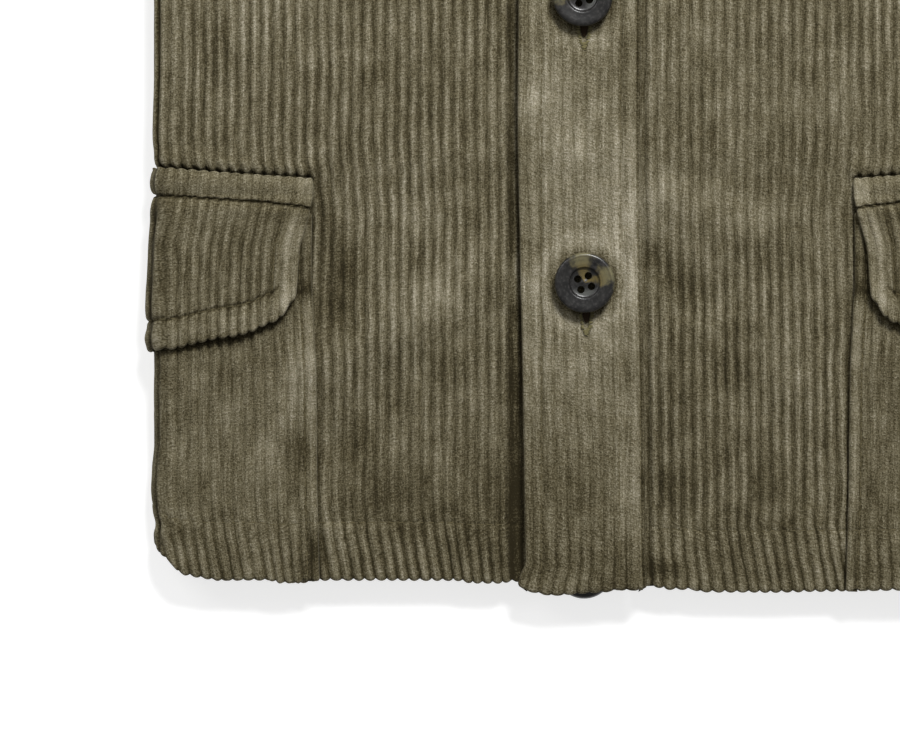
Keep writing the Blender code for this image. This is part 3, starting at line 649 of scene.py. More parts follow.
def pocket(side, finish):
    """A patch pocket, which goes round the fold."""
    name, seed = "pocket_" + hand(side), 0 if side < 0 else 10
    start = 89.8
    across, share, end, _, _ = columns(start, POCKET_LEVEL, POCKET_END_X, WALE_POCKET, 14.0)
    v = rows_over(across, POCKET_ROWS)
    run = start + (end - start) * share + 0 * v
    height = v + hem_at(side, run) * unit(1 - v / HEM_REACH)
    near = read(POCKET_EDGE, height)
    run = near + (girth(height, POCKET_END_X) - near) * share
    run = run + inside_ends(share) * (side * 3.0 * unit(1 - v / 20) + wander_across(across, v, 61 + seed))
    strength = patchy(side * run, height, 83 + seed, read(POCKET_PILE, height))
    out, h = weave_out(across, v, 81 + seed, strength)
    nap = nap_and_shading_at(side * run, height, 87 + seed) - 0.04
    height = height - scallop(h, v)
    stitch = hump(v - HEM_STITCH + 0.9 * (across - np.round(across)), 0.7)
    out = out - 0.2 * stitch * (0.2 + h)
    side_in = run - near
    out = out - 0.5 * hump(side_in - 3.0, 0.6) + 0.3 * hump(side_in - 1.3, 1.1)
    # A painted highlight on the rolled rim, and painted shade in the stitching just inside it.
    nap = nap + 0.22 * hump(side_in - 1.2, 1.0) * unit((height - 20) / 10)
    nap = nap - 0.2 * hump(side_in - 3.0, 0.45)
    # A painted shadow just below the flap's lower edge, and painted shade under the flap.
    below = read(FLAP_HEM, run) - height
    nap = nap - 0.35 * hump(below, 3.0) - 0.2 * (below < 0)
    cloth = patch(side, run, height, GAP, GAP + POCKET_WALL, out, across, strength, nap)
    lines = [line_where(v - HEM_STITCH + 0 * across, cloth), line_where(side_in - 3.0, cloth, upright=True)]
    sew(f"stitches_{name}", thread, lines)
    return spread(name, cloth.hemmed(wale=WALE_POCKET).mirrored(side), finish, name, WALE_POCKET)


def flap(side, finish):
    """The pocket's flap, which hangs from its seam and goes round the fold."""
    name, seed = "flap_" + hand(side), 0 if side < 0 else 10
    start = 90.6
    across, share, end, over, count = columns(start, FLAP_LEVEL, FLAP_END_X, WALE_POCKET, 15.0)
    rows = rows_over(across, FLAP_ROWS)
    run = start + (end - start) * share + 0 * rows
    hinge = read(FLAP_HINGE, run)
    slant = read(((0, 1.0), (over, 0.45), (count, 0.0)), across)
    for _ in range(3):
        low = read(FLAP_HEM, run)
        seam_at = (read(FLAP_STITCH, run) - low) / (hinge - low)
        part = np.where(rows < 0.8, rows / 0.8 * seam_at, seam_at + (rows / 0.2 - 4) * (1 - seam_at))
        height = low + (hinge - low) * part
        near = read(FLAP_EDGE, np.maximum(height, 96))
        run = start + (end - start) * share + (near - start) * slant
    run = run + inside_ends(share) * wander_across(across, height, 101 + seed)
    band = unit((height - read(FLAP_STITCH, run)) / 2)
    strength = patchy(side * run, height, 123 + seed, 0.54 - 0.34 * band * unit((146 - run) / 22))
    strength = strength * (1 - 0.5 * hump(run - near - 4, 3.5) * (1 - band))
    out, h = weave_out(across, height, 121 + seed, strength)
    height = height - scallop(h, height - low, 0.6) + 0.3 * (h - 0.6) * np.exp(-(hinge - height) / 1.5)
    phase = across - np.round(across)
    above = height - read(FLAP_STITCH, run)
    seam = hump(above + 0.4 * phase + 0.2 * drift(129, across, height, 0.6, 9), 0.42)
    out = out - 1.2 * (0.6 + 0.4 * h) * seam - 0.3 * hump(above, 1.4)
    out = out + 0.5 * hump(above - 4.8, 2.8) + 0.3 * hump(above + 2.6, 1.8)
    out = out - 0.7 * hump(hinge - height, 0.9)
    lower = height - low
    side_in = run - near
    low_seam = hump(lower - 9.0 + 0.9 * phase, 0.6) * unit((side_in - 4) / 3)
    out = out - 0.7 * (0.3 + h) * low_seam + 0.35 * hump(lower - 4.2, 3.0)
    side_seam = hump(side_in - 7.5, 0.6) * (above < -1.5) * unit((lower - 6) / 3)
    out = out - 0.7 * (0.3 + h) * side_seam
    out = out + 0.35 * hump(side_in - 3.4, 2.6) * unit(-above / 6)
    # Painted shade in the grooves of the stitching, and painted light on the raised inner edge, on the rim
    # above the lower edge and along the edge in the band.
    nap = nap_and_shading_at(side * run, height, 127 + seed) - 0.35 * seam + 0.07 * band - 0.06
    nap = nap + 0.24 * hump(side_in - 3.0, 2.6) * unit(-above / 6)
    nap = nap - 0.3 * low_seam - 0.22 * side_seam + 0.1 * hump(lower - 3.5, 3.0)
    nap = nap + 0.2 * hump(side_in - 1.5, 2.0) * band
    lift = read(FLAP_LIFT, height) + 1.1 * np.exp(-lower / 7.0) * unit(1 - (run - 118) / 20)
    cloth = patch(side, run, height, lift, 4.6, out, across, strength, nap)
    below = line_where(lower - 9.0 + 0 * run, cloth)
    inside = line_where(np.where((above < -1.5) & (lower > 9.0), side_in, -9.0) - 7.5, cloth, upright=True)
    first = np.argmax(below[0][:, 0] * side > read(FLAP_EDGE, 97.0) + 7.5)
    sew(f"stitches_{name}", thread, [line_where(above, cloth), tuple(grid[first:] for grid in below), inside])
    return spread(name, cloth.hemmed(wale=WALE_POCKET).mirrored(side), finish, name, WALE_POCKET)


def placket(finish, buttons):
    """The doubled strip with the buttonholes."""
    across = steps((0, PLACKET_WALES, 0.125))[None, :]
    share = across / PLACKET_WALES
    v = rows_over(across, ((0, 12, 1.2), (12, 150, 1.6), (150, FRONT_NECK - GAP, 5.0)))
    left, right = read(PLACKET, v, 1), read(PLACKET, v, 2)
    x = left + (right - left) * share
    height = v + read(PLACKET_HEM, x) * unit(1 - v / 40)
    x = x + inside_ends(share, 6, 6) * wander_across(across, v, 141, 0.35)
    strength = patchy(x, height, 153, 0.3 + 0 * x)
    out, h = weave_out(across, v, 151, strength, 0.75, 0.6)
    nap = nap_and_shading_at(x, height, 157) + read(PLACKET_TONE, height)
    height = height - scallop(h, v, 0.45)
    out = out - 0.6 * hump(right - x - 0.5, 0.35) + 0.4 * hump(right - x - 2.4, 1.2)
    for line in PLACKET_SEAMS:
        out = out - 0.35 * hump(x - line, 0.5)
        # Painted shade in the dents of the topstitching.
        nap = nap - 0.12 * hump(x - line, 0.5)
    out = out + 0.25 * drift(161, x, v, 13, 19)
    for spot, radius in buttons:
        bx, bv = spot.x / MM, spot.y / MM + MIDDLE
        far = np.hypot(x - bx, height - bv)
        out = out - 0.5 * hump(far, radius * 1.2, 4)
        x = x + 0.7 * (x - bx) / (radius + 3) * hump(far - radius, 4.5)
        pull = hump(x - bx, 1.6) * unit(1.5 - np.abs(height - bv + 11) / 5)
        out = out - 0.7 * pull
        # A painted shadow under and round the button, and painted light on the cloth a little beyond it.
        nap = nap - 0.3 * hump(far, radius * 1.12, 8) + 0.14 * hump(far - radius * 1.5, 3)
    out = np.maximum(out, 0.3 - PLACKET_WALL)
    _, under, radius, _ = body_at(v)
    base = under + 2 * radius + GAP
    outer = np.stack((x, height, base + PLACKET_WALL + out), -1)
    inner = np.stack((x, height, base + 0 * out), -1)
    # Painted shade at the right edge, where it is stitched, and in a dip inside it, with a painted highlight
    # on the ridge between them.
    nap = nap - 0.34 * hump(right - x - 0.3, 0.4) + 0.16 * hump(right - x - 2.2, 1.1)
    nap = nap - 0.12 * hump(right - x - 4.2, 0.6)
    cloth = Cloth(outer, inner - outer, across, height, strength, nap)
    marks = (x - right + 0.9, *(x - line for line in PLACKET_SEAMS))
    sew("stitches_placket", thread, [line_where(mark, cloth, upright=True) for mark in marks])
    return spread("placket", cloth.hemmed(steps=5, bulge=0.42), finish, "placket")


def under_placket(finish):
    """The strip under the placket, on the right front."""
    across = steps((0, 8, 0.125))[None, :]
    v = rows_over(across, ((0, 20, 1.5), (20, FRONT_NECK - GAP, 8.0)))
    x = -14.7 + 31.7 * across / 8 + 0 * v
    out, h = weave_out(across, v, 171)
    _, under, radius, _ = body_at(v)
    top = under + 2 * radius
    outer = np.stack((x, v - scallop(h, v, 0.4), top + out), -1)
    inner = np.stack((x, v + 0 * x, top - WALL), -1)
    cloth = Cloth(outer, inner - outer, across, v).hemmed(("hem", "near", "far"))
    return spread("under_placket", cloth, finish, "under_placket")


def curve(points, samples):
    """A smooth line through points, with that many samples from each to the next."""
    line = np.array(points, float)
    line = np.concatenate((2 * line[:1] - line[1:2], line, 2 * line[-1:] - line[-2:-1]))
    t = (np.arange(samples) / samples)[:, None]
    made = []
    for a, b, c, d in zip(line, line[1:], line[2:], line[3:]):
        square, cube = 2 * a - 5 * b + 4 * c - d, 3 * b - a - 3 * c + d
        made.append(0.5 * (2 * b + (c - a) * t + square * t**2 + cube * t**3))
    return np.concatenate((*made, line[-2:-1]))


def facing_of(grid):
    """A grid's normals, up at its first row, and the side to mirror its cloth to for that."""
    normal = normal_length(np.cross(np.gradient(grid, axis=1), np.gradient(grid, axis=0)))
    back = normal[0, grid.shape[1] // 2, 2] < 0
    return (-normal, -1) if back else (normal, 1)


def length_along(grid):
    """The length along the rows of a grid, at each of its points."""
    return np.broadcast_to(length_to(grid[:, grid.shape[1] // 2])[:, None], grid.shape[:2])


def collar(finish):
    """The collar falls from its roll to its outer edge, with its wales along it."""
    half = [curve([row[k] for row in COLLAR], 14) for k in range(3)]
    roll, bend, edge = (np.concatenate((h[:-1] * (-1, 1, 1), h[::-1]))[:, None] for h in half)
    across = steps((0, COLLAR_WALES, 1 / 6))[None, :]
    t = (across / COLLAR_WALES)[..., None]
    grid = roll * (1 - t) ** 2 + bend * 2 * t * (1 - t) + edge * t**2
    facing, side = facing_of(grid)
    along = length_along(grid)
    out, h = weave_out(across, along, 181)
    out = out + 0.35 * drift(185, across, along, 4, 30)
    out = out - 0.6 * h * hump(COLLAR_WALES - across - 1.7, 0.25)
    near_end = np.minimum(along, along.max() - along)
    out = out - 0.6 * h * hump(near_end - 6.5, 0.9)
    outer = grid + facing * (COLLAR_WALL / 2 + out)[..., None]
    inner = grid - facing * COLLAR_WALL / 2
    cloth = Cloth(outer, inner - outer, across, along).hemmed(bulge=0.5)
    return spread("collar", cloth.mirrored(side), finish, "collar")


def stand(finish):
    """The stand goes round the neck. Both of its faces show."""
    seam, edge = (curve([row[k] for row in STAND], 10)[:, None] for k in (0, 1))
    across = steps((0, STAND_WALES, 1 / 6))[None, :]
    t = (across / STAND_WALES)[..., None]
    grid = seam * (1 - t) + edge * t
    facing, side = facing_of(grid)
    along = length_along(grid)
    out, h = weave_out(across, along, 191, relief=0.7)
    half = (STAND_WALL / 2 + out)[..., None]
    round_rim = np.arange(1, STAND_RIM + 1)
    turn = (round_rim / (STAND_RIM + 1) * math.pi)[None, :, None]
    rim = grid[:, -1:] + facing[:, -1:] * np.cos(turn) * half[:, -1:]
    rim = rim + normal_length(edge - seam) * np.sin(turn) * STAND_WALL / 2
    points = np.concatenate((grid + facing * half, rim, (grid - facing * half)[:, ::-1]), 1)
    counts = (across, STAND_WALES + round_rim[None, :] * 0.15, STAND_WALES + 1 + across)
    count = np.concatenate([wales + 0 * along[:, :1] for wales in counts], 1)
    closed = np.concatenate((grid, np.repeat(grid[:, -1:], STAND_RIM, 1), grid[:, ::-1]), 1)
    points = np.concatenate((closed[:1], points, closed[-1:]))
    count = np.concatenate((count[:1], count, count[-1:]))
    gone = np.concatenate((along[:1] - 1, along, along[-1:] + 1))[:, :1]
    cloth = Cloth(points, points * 0, count, gone + 0 * count)
    return spread("collar_stand", cloth.mirrored(side), finish, "collar_stand")


def ring_of(inner, outer, thick, count):
    """Points round a flattened tube, from its inner edge along its underside, and the way out at each."""
    r = thick / 2
    lip = ((1.6, 1.0), (0.5, 0.72), (0.1, 0.45), (0.5, 0.16), (1.6, 0.0))
    spots = [(inner + x, r * z) for x, z in lip]
    spots += [(x, 0.0) for x in np.linspace(inner + 3, outer - r, 40)]
    bend = np.linspace(-math.pi / 2, math.pi / 2, 13)[1:-1]
    spots += [(outer - r + r * math.cos(angle), r + r * math.sin(angle)) for angle in bend]
    spots += [(x, thick) for x in np.linspace(outer - r, inner + 3, 40)]
    spots += [(inner + x, r * (2 - z)) for x, z in lip[::-1]]
    line = np.array(spots)
    gone = length_to(line)
    where = np.linspace(0, gone[-1], count)
    ring = np.stack([np.interp(where, gone, line[:, k]) for k in (0, 1)], -1)
    way = np.gradient(ring, axis=0)
    return ring, normal_length(np.stack((way[:, 1], -way[:, 0]), -1)), where


def sleeve(side, finish):
    """A sleeve, flat under the body, with its upper end folded on a slant."""
    name, first = "sleeve_" + hand(side), SLEEVE[0][0]
    rows = steps((first, SLANT_FROM, 7.0), (SLANT_FROM, SHOULDER_LEVEL, 6.0))
    lines, counts = [], []
    for v in rows:
        inner, outer, thick = (float(read(SLEEVE, v, k)) for k in (1, 2, 3))
        ring, way, where = ring_of(inner, outer, thick, SLEEVE_WALES * 4 + 1)
        across = where / where[-1] * SLEEVE_WALES
        out, _ = weave_out(across, v + 0 * across, 201, relief=0.75)
        spot = ring + way * np.minimum(out, 0)[:, None]
        x = spot[:, 0]
        top = SLEEVE_TOP - SLEEVE_SLANT * (SLEEVE[-1][2] - x)
        slanted = SLANT_FROM + (top - SLANT_FROM) * (v - SLANT_FROM) / (SHOULDER_LEVEL - SLANT_FROM)
        height = np.where(v <= SLANT_FROM, v, slanted)
        soft = ridge(x, height, SLEEVE_FOLDS) * (spot[:, 1] < thick / 2)
        z = spot[:, 1] + soft * unit((x - inner) / 12) * unit((outer - x) / 12)
        closing = np.sqrt(unit(1 - (1 - unit((top - height) / 4)) ** 2))
        lines.append(np.stack((side * x, height, thick / 2 + (z - thick / 2) * closing), -1))
        counts.append(across)
    points = np.array(lines)
    cloth = Cloth(points, points * 0, np.array(counts), points[..., 1])
    return spread(name, cloth.mirrored(side), finish, name)


def cuff(side, finish):
    """A flattened cuff, open at its end, with its wales round it."""
    name = "cuff_" + hand(side)
    inner, outer, thick = CUFF
    level, middle = thick / 2, (inner + outer) / 2
    ring, way, where = ring_of(inner, outer, thick, 90)
    lines, counts = [], []
    for wale in steps((0, CUFF_WALES, 0.125))[::-1]:
        v = CUFF_END + 1.0 + (CUFF_SEAM - CUFF_END - 1.0) * wale / CUFF_WALES
        out, h = weave_out(wale + 0 * where, where, 211, relief=0.7)
        for seam in (1.7, 14.5):
            out = out - 0.5 * h * (abs(wale - seam) < 0.2)
        spot = ring + way * np.minimum(out, 0)[:, None]
        x = middle + (spot[:, 0] - middle) * (1 - 3.0 / 58 * wale / CUFF_WALES)
        lines.append(np.stack((side * x, v + 0 * x, spot[:, 1]), -1))
        counts.append(-wale + 0 * x)
    for wale, wide, flat, v in CUFF_MOUTH:
        x = middle + (ring[:, 0] - middle) * wide
        lines.append(np.stack((side * x, v + 0 * x, level + (ring[:, 1] - level) * flat), -1))
        counts.append(-wale + 0 * x)
    points = np.array(lines)
    cloth = Cloth(points, points * 0, np.array(counts), where[None, :])
    return spread(name, cloth.mirrored(-side), finish, name)


def folded_layers(finish):
    """The back and the layers folded inside, as one tube which shows in the neck and underneath."""
    half = steps(*BACK_COLUMNS)
    run = np.concatenate((-half[::-1], half[1:]))[None, :]
    v = rows_over(run, BACK_ROWS)
    way = np.where(run < 0, -1.0, 1.0)
    gone = np.abs(run) / BACK_HALF * girth(v, 0.0)
    across = way * gone / WALE
    top = neck_and_shoulder(gone, BACK_NECK, 1.7)[0] - 0.5
    height, drop = up_to(top, v, gone, v)
    out, _ = weave_out(across, height, 221, relief=0.8)
    show = (gone < BACK_NECK_SHOWS) | (gone > BACK_SEAM_SHOWS)
    points = lay(way, gone, height, -(WALL + GAP) + np.where(show, out, -0.4), drop, folds=False)
    squash = np.exp(-((SIDE_NECK - v) / 1.8))
    _, under, radius, _ = body_at(height)
    level = (under + radius)[..., None]
    points[..., 2:] = level + (points[..., 2:] - level) * (1 - 0.9 * squash[..., None])
    return spread("back", Cloth(points, points * 0, across, height), finish, "folded_layers")


def hem_layers(side, upper, finish):
    """One layer of the back's hem, which shows between the two faces of the front's hem."""
    _, under, radius, _ = (float(a) for a in body_at(10.0))
    low, high = under + WALL + GAP, under + 2 * radius - WALL - GAP
    middle = (low + high) / 2
    z0, z1, first = (middle + 0.35, high - 0.1, 6.0) if upper else (low + 0.1, middle - 0.35, 3.5)
    across = steps((0, 29, 0.2))[None, :]
    v = rows_over(across, ((0, 10, 1.2), (10, 34, 6.0)))
    out, h = weave_out(across, v, 231 + upper, relief=0.5)
    x = 14.5 + across * WALE
    rise = 4.0 * unit((x - 112) / 14) ** 2
    height = first + v + rise + 0.6 * drift(235 + upper, x, v, 25, 50) - scallop(h, v, 0.35)
    outer = np.stack((side * x + 0 * v, height, z1 + out), -1)
    inner = np.stack((side * x + 0 * v, height, z0 + 0 * out), -1)
    cloth = Cloth(outer, inner - outer, across, height).hemmed(("hem", "near", "far"))
    name = f"back_hem_{hand(side)}_{'upper' if upper else 'lower'}"
    return spread(name, cloth.mirrored(side), finish, "folded_layers")


# Sewing


def line_where(marks, cloth, upright=False):
    """A line on a cloth's face and the way out of it, where marks rise through 0.

    They rise from row to row, or from column to column if upright.
    """
    m, p, t = (grid.swapaxes(0, 1) if upright else grid for grid in (marks, cloth.points, cloth.inward))
    rising = (m[:-1] < 0) & (m[1:] >= 0)
    column = np.flatnonzero(rising.any(0))
    row = rising.argmax(0)[column]
    a, b = m[row, column], m[row + 1, column]
    part = (-a / (b - a))[:, None]
    spots = p[row, column] * (1 - part) + p[row + 1, column] * part
    return spots, -normal_length(t[row, column])


def sew(name, finish, lines, length=2.5, gap=0.8, thick=0.45, sink=0.1):
    """Rows of stitches, each a small round-ended length of thread pressed into the cloth."""
    threads = []
    for spots, ways in lines:
        gone = length_to(spots)
        for start in np.arange(0.4, gone[-1] - length, length + gap):
            at = ((start, spots), (start + length, spots), (start + length / 2, spots), (start, ways))
            a, b, middle, way = (
                np.stack([np.interp(where, gone, grid[:, k]) for k in range(3)]) for where, grid in at
            )
            threads.append((a, b, middle - way * sink, way, thick))
    lay_threads(name, threads, finish)


def lay_threads(name, threads, finish):
    """Round-ended lengths of thread as one piece, made in small lots."""
    whole, lot = bmesh.new(), bpy.data.meshes.new(name)
    for first in range(0, len(threads), 24):
        bm = bmesh.new()
        for given in threads[first : first + 24]:
            add_thread(bm, *given)
        bm.to_mesh(lot)
        bm.free()
        whole.from_mesh(lot)
    whole.to_mesh(lot)
    whole.free()
    place(name, lot, finish)


def add_thread(bm, a, b, middle, way, thick):
    """One round-ended length of thread from a to b."""
    along, up = Vector(b - a), Vector(way)
    beside = up.cross(along).normalized()
    up = along.cross(beside).normalized()
    turned = Matrix((beside, up, along.normalized())).transposed().to_4x4()
    size = Matrix.Diagonal((thick / 2 * MM, thick / 2 * MM, along.length / 2 * MM, 1))
    spot = Matrix.Translation(Vector(middle - np.array((0, MIDDLE, 0))) * MM)
    bmesh.ops.create_uvsphere(bm, u_segments=6, v_segments=5, radius=1, matrix=spot @ turned @ size)


def buttonhole(name, x, v, level, finish, dark):
    """The end of an upright buttonhole which shows below its button: a dark shape of painted shade in the
    slit, whipped with thread.
    """
    rng = np.random.default_rng(round(v))
    threads = []

    def add(a, b):
        threads.append((a, b, (a + b) / 2, np.array((0, 0, 1.0)), 0.42))

    for k in range(13):
        for way in (-1, 1):
            wide = 0.5 + 0.75 * min(1.0, k / 9)
            at = v - 15.0 + 0.48 * k + rng.uniform(-0.15, 0.15)
            near, far = x + way * wide, x + way * (wide + rng.uniform(0.9, 1.7))
            add(np.array((near, at, level - 0.3)), np.array((far, at + rng.uniform(-0.5, 0.3), level - 0.25)))
    for k in range(7):
        ends = []
        for way in (-1, 1):
            at = v - 15.2 - 0.36 * k + rng.uniform(-0.3, 0.3)
            ends.append(np.array((x + way * (1.5 - 0.12 * k), at, level - 0.2)))
        add(*ends)
    lay_threads(name + "_whipping", threads, finish)
    # The slit is a dark flattened ball that stands for the shade inside the buttonhole.
    bm = bmesh.new()
    spot = Matrix.Translation(Vector((x, v - 8.8 - MIDDLE, level - 0.45)) * MM)
    size = Matrix.Diagonal((1.3 * MM, 4.5 * MM, 0.4 * MM, 1))
    bmesh.ops.create_uvsphere(bm, u_segments=20, v_segments=12, radius=1, matrix=spot @ size)
    place(name + "_slit", as_mesh(bm, name + "_slit"), dark)


def box_of(name):
    """A button's box: its middle, its radius and its underside and top."""
    low, high = (Vector(corner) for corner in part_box(name))
    return (low + high) / 2, (high.x - low.x) / 2, low.z, high.z


def button(name, finish, turn):
    """A turned button with a raised rim, a sunk middle and four drilled holes."""
    middle, radius, under, top = box_of(name)
    face_down = name == "button_spare"
    middle.x -= 0.35 * MM
    middle.y -= 0.7 * MM if face_down else 0
    thin = radius / (BUTTON_D / 2 * MM)
    bm = bmesh.new()
    outline = [bm.verts.new((r * radius, 0, h * thin * MM)) for r, h in BUTTON_OUTLINE]
    edges = [bm.edges.new(pair) for pair in zip(outline, outline[1:])]
    way_round = {"cent": (0, 0, 0), "axis": (0, 0, 1), "angle": 2 * math.pi, "steps": 72}
    bmesh.ops.spin(bm, geom=outline + edges, use_merge=True, **way_round)
    bmesh.ops.remove_doubles(bm, verts=bm.verts, dist=1e-6)
    bmesh.ops.recalc_face_normals(bm, faces=bm.faces)
    drill, bit = bmesh.new(), HOLE_D / 2 * thin * MM
    for i in range(4):
        angle = HOLE_TURN + math.radians(45 + 90 * i)
        spot = Matrix.Translation(Vector((math.cos(angle), math.sin(angle), 0)) * HOLE_OUT * thin * MM)
        size = {"cap_ends": True, "segments": 20, "radius1": bit, "radius2": bit, "depth": 12 * MM}
        bmesh.ops.create_cone(drill, matrix=spot, **size)
    whole = add_object(name + "_whole", as_mesh(bm, name + "_turned"))
    holes = add_object(name + "_holes", as_mesh(drill, name + "_bits"))
    cut = whole.modifiers.new("holes", "BOOLEAN")
    cut.operation, cut.solver, cut.object = "DIFFERENCE", "EXACT", holes
    bpy.context.view_layer.update()
    mesh = bpy.data.meshes.new_from_object(whole.evaluated_get(bpy.context.evaluated_depsgraph_get()))
    for obj in (whole, holes):
        bpy.data.objects.remove(obj, do_unlink=True)
    mesh.name = name + "_horn"
    spots, corners = read_mesh(mesh)
    cos, sin = math.cos(turn), math.sin(turn)
    flat = spots[:, :2] @ np.array(((cos, -sin), (sin, cos))) / radius
    flip = (1, -1, -1) if face_down else (1, 1, 1)
    base = np.array((middle.x, middle.y, top if face_down else under))
    move_mesh(mesh, spots * flip + base, "face", flat[corners])
    mesh.update()
    stand_for(name, name + "_horn", mesh, finish)
    mesh.set_sharp_from_angle(angle=math.radians(50))


# Finishes


def arithmetic(operation, swapped=False):
    """A Shade's operator, which adds one Math node."""
    return lambda a, b: a.finish.maths(operation, *((b, a) if swapped else (a, b)))


class Shade:
    """A value or colour in a finish. Arithmetic on it adds the finish's Math nodes."""

    __add__, __radd__ = arithmetic("ADD"), arithmetic("ADD", swapped=True)
    __sub__, __rsub__ = arithmetic("SUBTRACT"), arithmetic("SUBTRACT", swapped=True)
    __mul__, __rmul__ = arithmetic("MULTIPLY"), arithmetic("MULTIPLY", swapped=True)
    __pow__ = arithmetic("POWER")

    def __init__(self, finish, socket):
        self.finish, self.socket = finish, socket

    def between(self, low, high):
        """0 below low, 1 above high, smooth between them."""
        values = {"Value": self, "From Min": low, "From Max": high}
        return self.finish.node("MapRange", {"interpolation_type": "SMOOTHSTEP"}, values)


class Finish:
    """A Principled material in the making."""

    def __init__(self, name, roughness, specular, **rest):
        self.material = bpy.data.materials.new(name)
        self.material.use_nodes = True
        self.tree = self.material.node_tree
        self.shader = self.tree.nodes["Principled BSDF"]
        self.set(Roughness=roughness, Specular_IOR_Level=specular, **rest)

    def set(self, **values):
        """Values or links of the shader's sockets."""
        for key, value in values.items():
            self.fill(self.shader.inputs[key.replace("_", " ")], value)

    def fill(self, socket, value):
        if isinstance(value, Shade):
            self.tree.links.new(value.socket, socket)
        else:
            socket.default_value = value

    def node(self, kind, settings=None, values=None, output=0):
        """A node with its settings and the values or links of its sockets. Returns one of its outputs."""
        made = self.tree.nodes.new("ShaderNode" + kind)
        for key, value in (settings or {}).items():
            if key == "stops":
                ramp = made.color_ramp
                while len(ramp.elements) < len(value):
                    ramp.elements.new(0.5)
                for stop, (where, colour) in zip(ramp.elements, value):
                    stop.position, stop.color = where, (*colour, 1)
            else:
                setattr(made, key, value)
        for key, value in (values or {}).items():
            self.fill(made.inputs[key], value)
        return Shade(self, made.outputs[output])

    def maths(self, operation, *values):
        return self.node("Math", {"operation": operation}, dict(enumerate(values)))

    def mixed(self, factor, a, b, blend="MIX"):
        settings = {"data_type": "RGBA", "blend_type": blend}
        return self.node("Mix", settings, {0: factor, 6: a, 7: b}, output=2)

    def vector(self, x, y, z=0.0):
        return self.node("CombineXYZ", None, {0: x, 1: y, 2: z})

    def noise(self, where, scale, detail=2.0, roughness=0.5, distortion=0.0):
        values = {"Vector": where, "Scale": scale, "Detail": detail, "Roughness": roughness}
        return self.node("TexNoise", None, {**values, "Distortion": distortion})

    def flat_layer(self, name):
        """A place in a piece's flat layer, and its two lengths."""
        spot = self.node("UVMap", {"uv_map": name})
        return spot, *(self.node("SeparateXYZ", None, {0: spot}, output=k) for k in (0, 1))

    def bump(self, strength, distance, height):
        return self.node("Bump", None, {"Strength": strength, "Distance": distance, "Height": height})


def screen(*colour):
    """A colour as a screen shows it, 0 to 255, in linear values."""
    return tuple(((c / 255 + 0.055) / 1.055) ** 2.4 if c > 10 else c / 3295 for c in colour)


OLIVE = (
    (0.0, screen(36, 31, 17)),
    (0.25, screen(67, 61, 43)),
    (0.5, screen(100, 94, 75)),
    (0.75, screen(131, 125, 107)),
    (1.0, screen(164, 158, 141)),
)


def corduroy(name, sharp=1.0):
    """Cotton corduroy: darker between the wales and paler on their tops, partly its own colour and partly
    painted shade and light, flecked and ribbed across by its pile.
    """
    sheen = {"Sheen_Weight": 0.12, "Sheen_Roughness": 0.5, "Sheen_Tint": (0.85, 0.78, 0.55, 1)}
    finish = Finish(name, 0.95, 0.08, **sheen)
    noise, vector, maths = finish.noise, finish.vector, finish.maths
    _, across, along = finish.flat_layer("cloth")
    waver = noise(vector(across * 0.6, along * 0.9), 1.0, 2.0)
    fine_waver = noise(vector(across * 1.1, along * 2.6), 1.0, 0.0)
    moved = across + (waver - 0.5) * 0.16 + (fine_waver - 0.5) * 0.2
    wale = maths("ROUND", moved)
    phase = moved - wale
    wave = maths("COSINE", phase * (2 * math.pi))
    strength, nap = (finish.node("Attribute", {"attribute_name": kind}, output=2) for kind in ("pile", "nap"))
    band = 1 - along.between(3.2, 6.2)
    pile = (wave * 0.5 + 0.5) ** (sharp - band * (sharp * 0.55))
    # A painted highlight along each wale's top, and painted shade in the groove between wales.
    line = (wave * 0.5 + 0.5) ** 5
    groove = (0.5 - wave * 0.5) ** 4
    fibre = noise(vector(across * 5.5, along * 0.3), 1.0, 1.0)
    fleck = noise(vector(across, along), 8.0, 0.0)
    tuft = noise(vector(across * 1.4, along * 0.8), 2.6, 2.0, 1.1)
    patch = noise(vector(across, along * 0.7), 0.27, 2.0, 0.9)
    streak = noise(vector(wale * 0.37, along * 0.3), 1.0, 2.0, 0.8)
    turn = along * 2.61 + (waver - 0.5) * 3 + wale * 0.37 + phase * 0.9 + (tuft - 0.5) * 2.2
    bead = maths("SINE", turn * (2 * math.pi)) * (pile + 0.3)
    # The tone follows each wale's profile, partly its own colour and partly painted light and shade, and adds
    # the light and shade painted on each piece.
    tone = 0.405 + (pile - 0.5) * strength * 0.21 + nap + bead * 0.07 + line * (strength * 0.6 + 0.15) * 0.15
    tone = tone + (fleck - 0.5) * 0.56 + (tuft - 0.5) * 0.64 + (patch - 0.5) * 0.26 + (streak - 0.5) * 0.3
    tone = tone + (fibre - 0.5) * 0.5 - groove * (strength * 0.1 + band * 0.12)
    colour = finish.node("ValToRGB", {"stops": OLIVE}, {0: tone})
    warm = noise(vector(across, along), 0.9, 2.0, 0.6)
    colour = finish.mixed(warm.between(0.4, 0.7) * 0.3, colour, (1.0, 0.97, 0.88, 1), "MULTIPLY")
    lift = pile * strength * 0.3 + fleck * 0.5 + tuft * 0.9 + fibre * 0.4 + bead * 0.04
    finish.set(Base_Color=colour, Normal=finish.bump(0.5, 0.0006, lift))
    return finish.material


def plain(name, colour):
    """Thread or shadowed cloth, too small to show more."""
    return Finish(name, 0.9, 0.1, Base_Color=(*screen(*colour), 1)).material


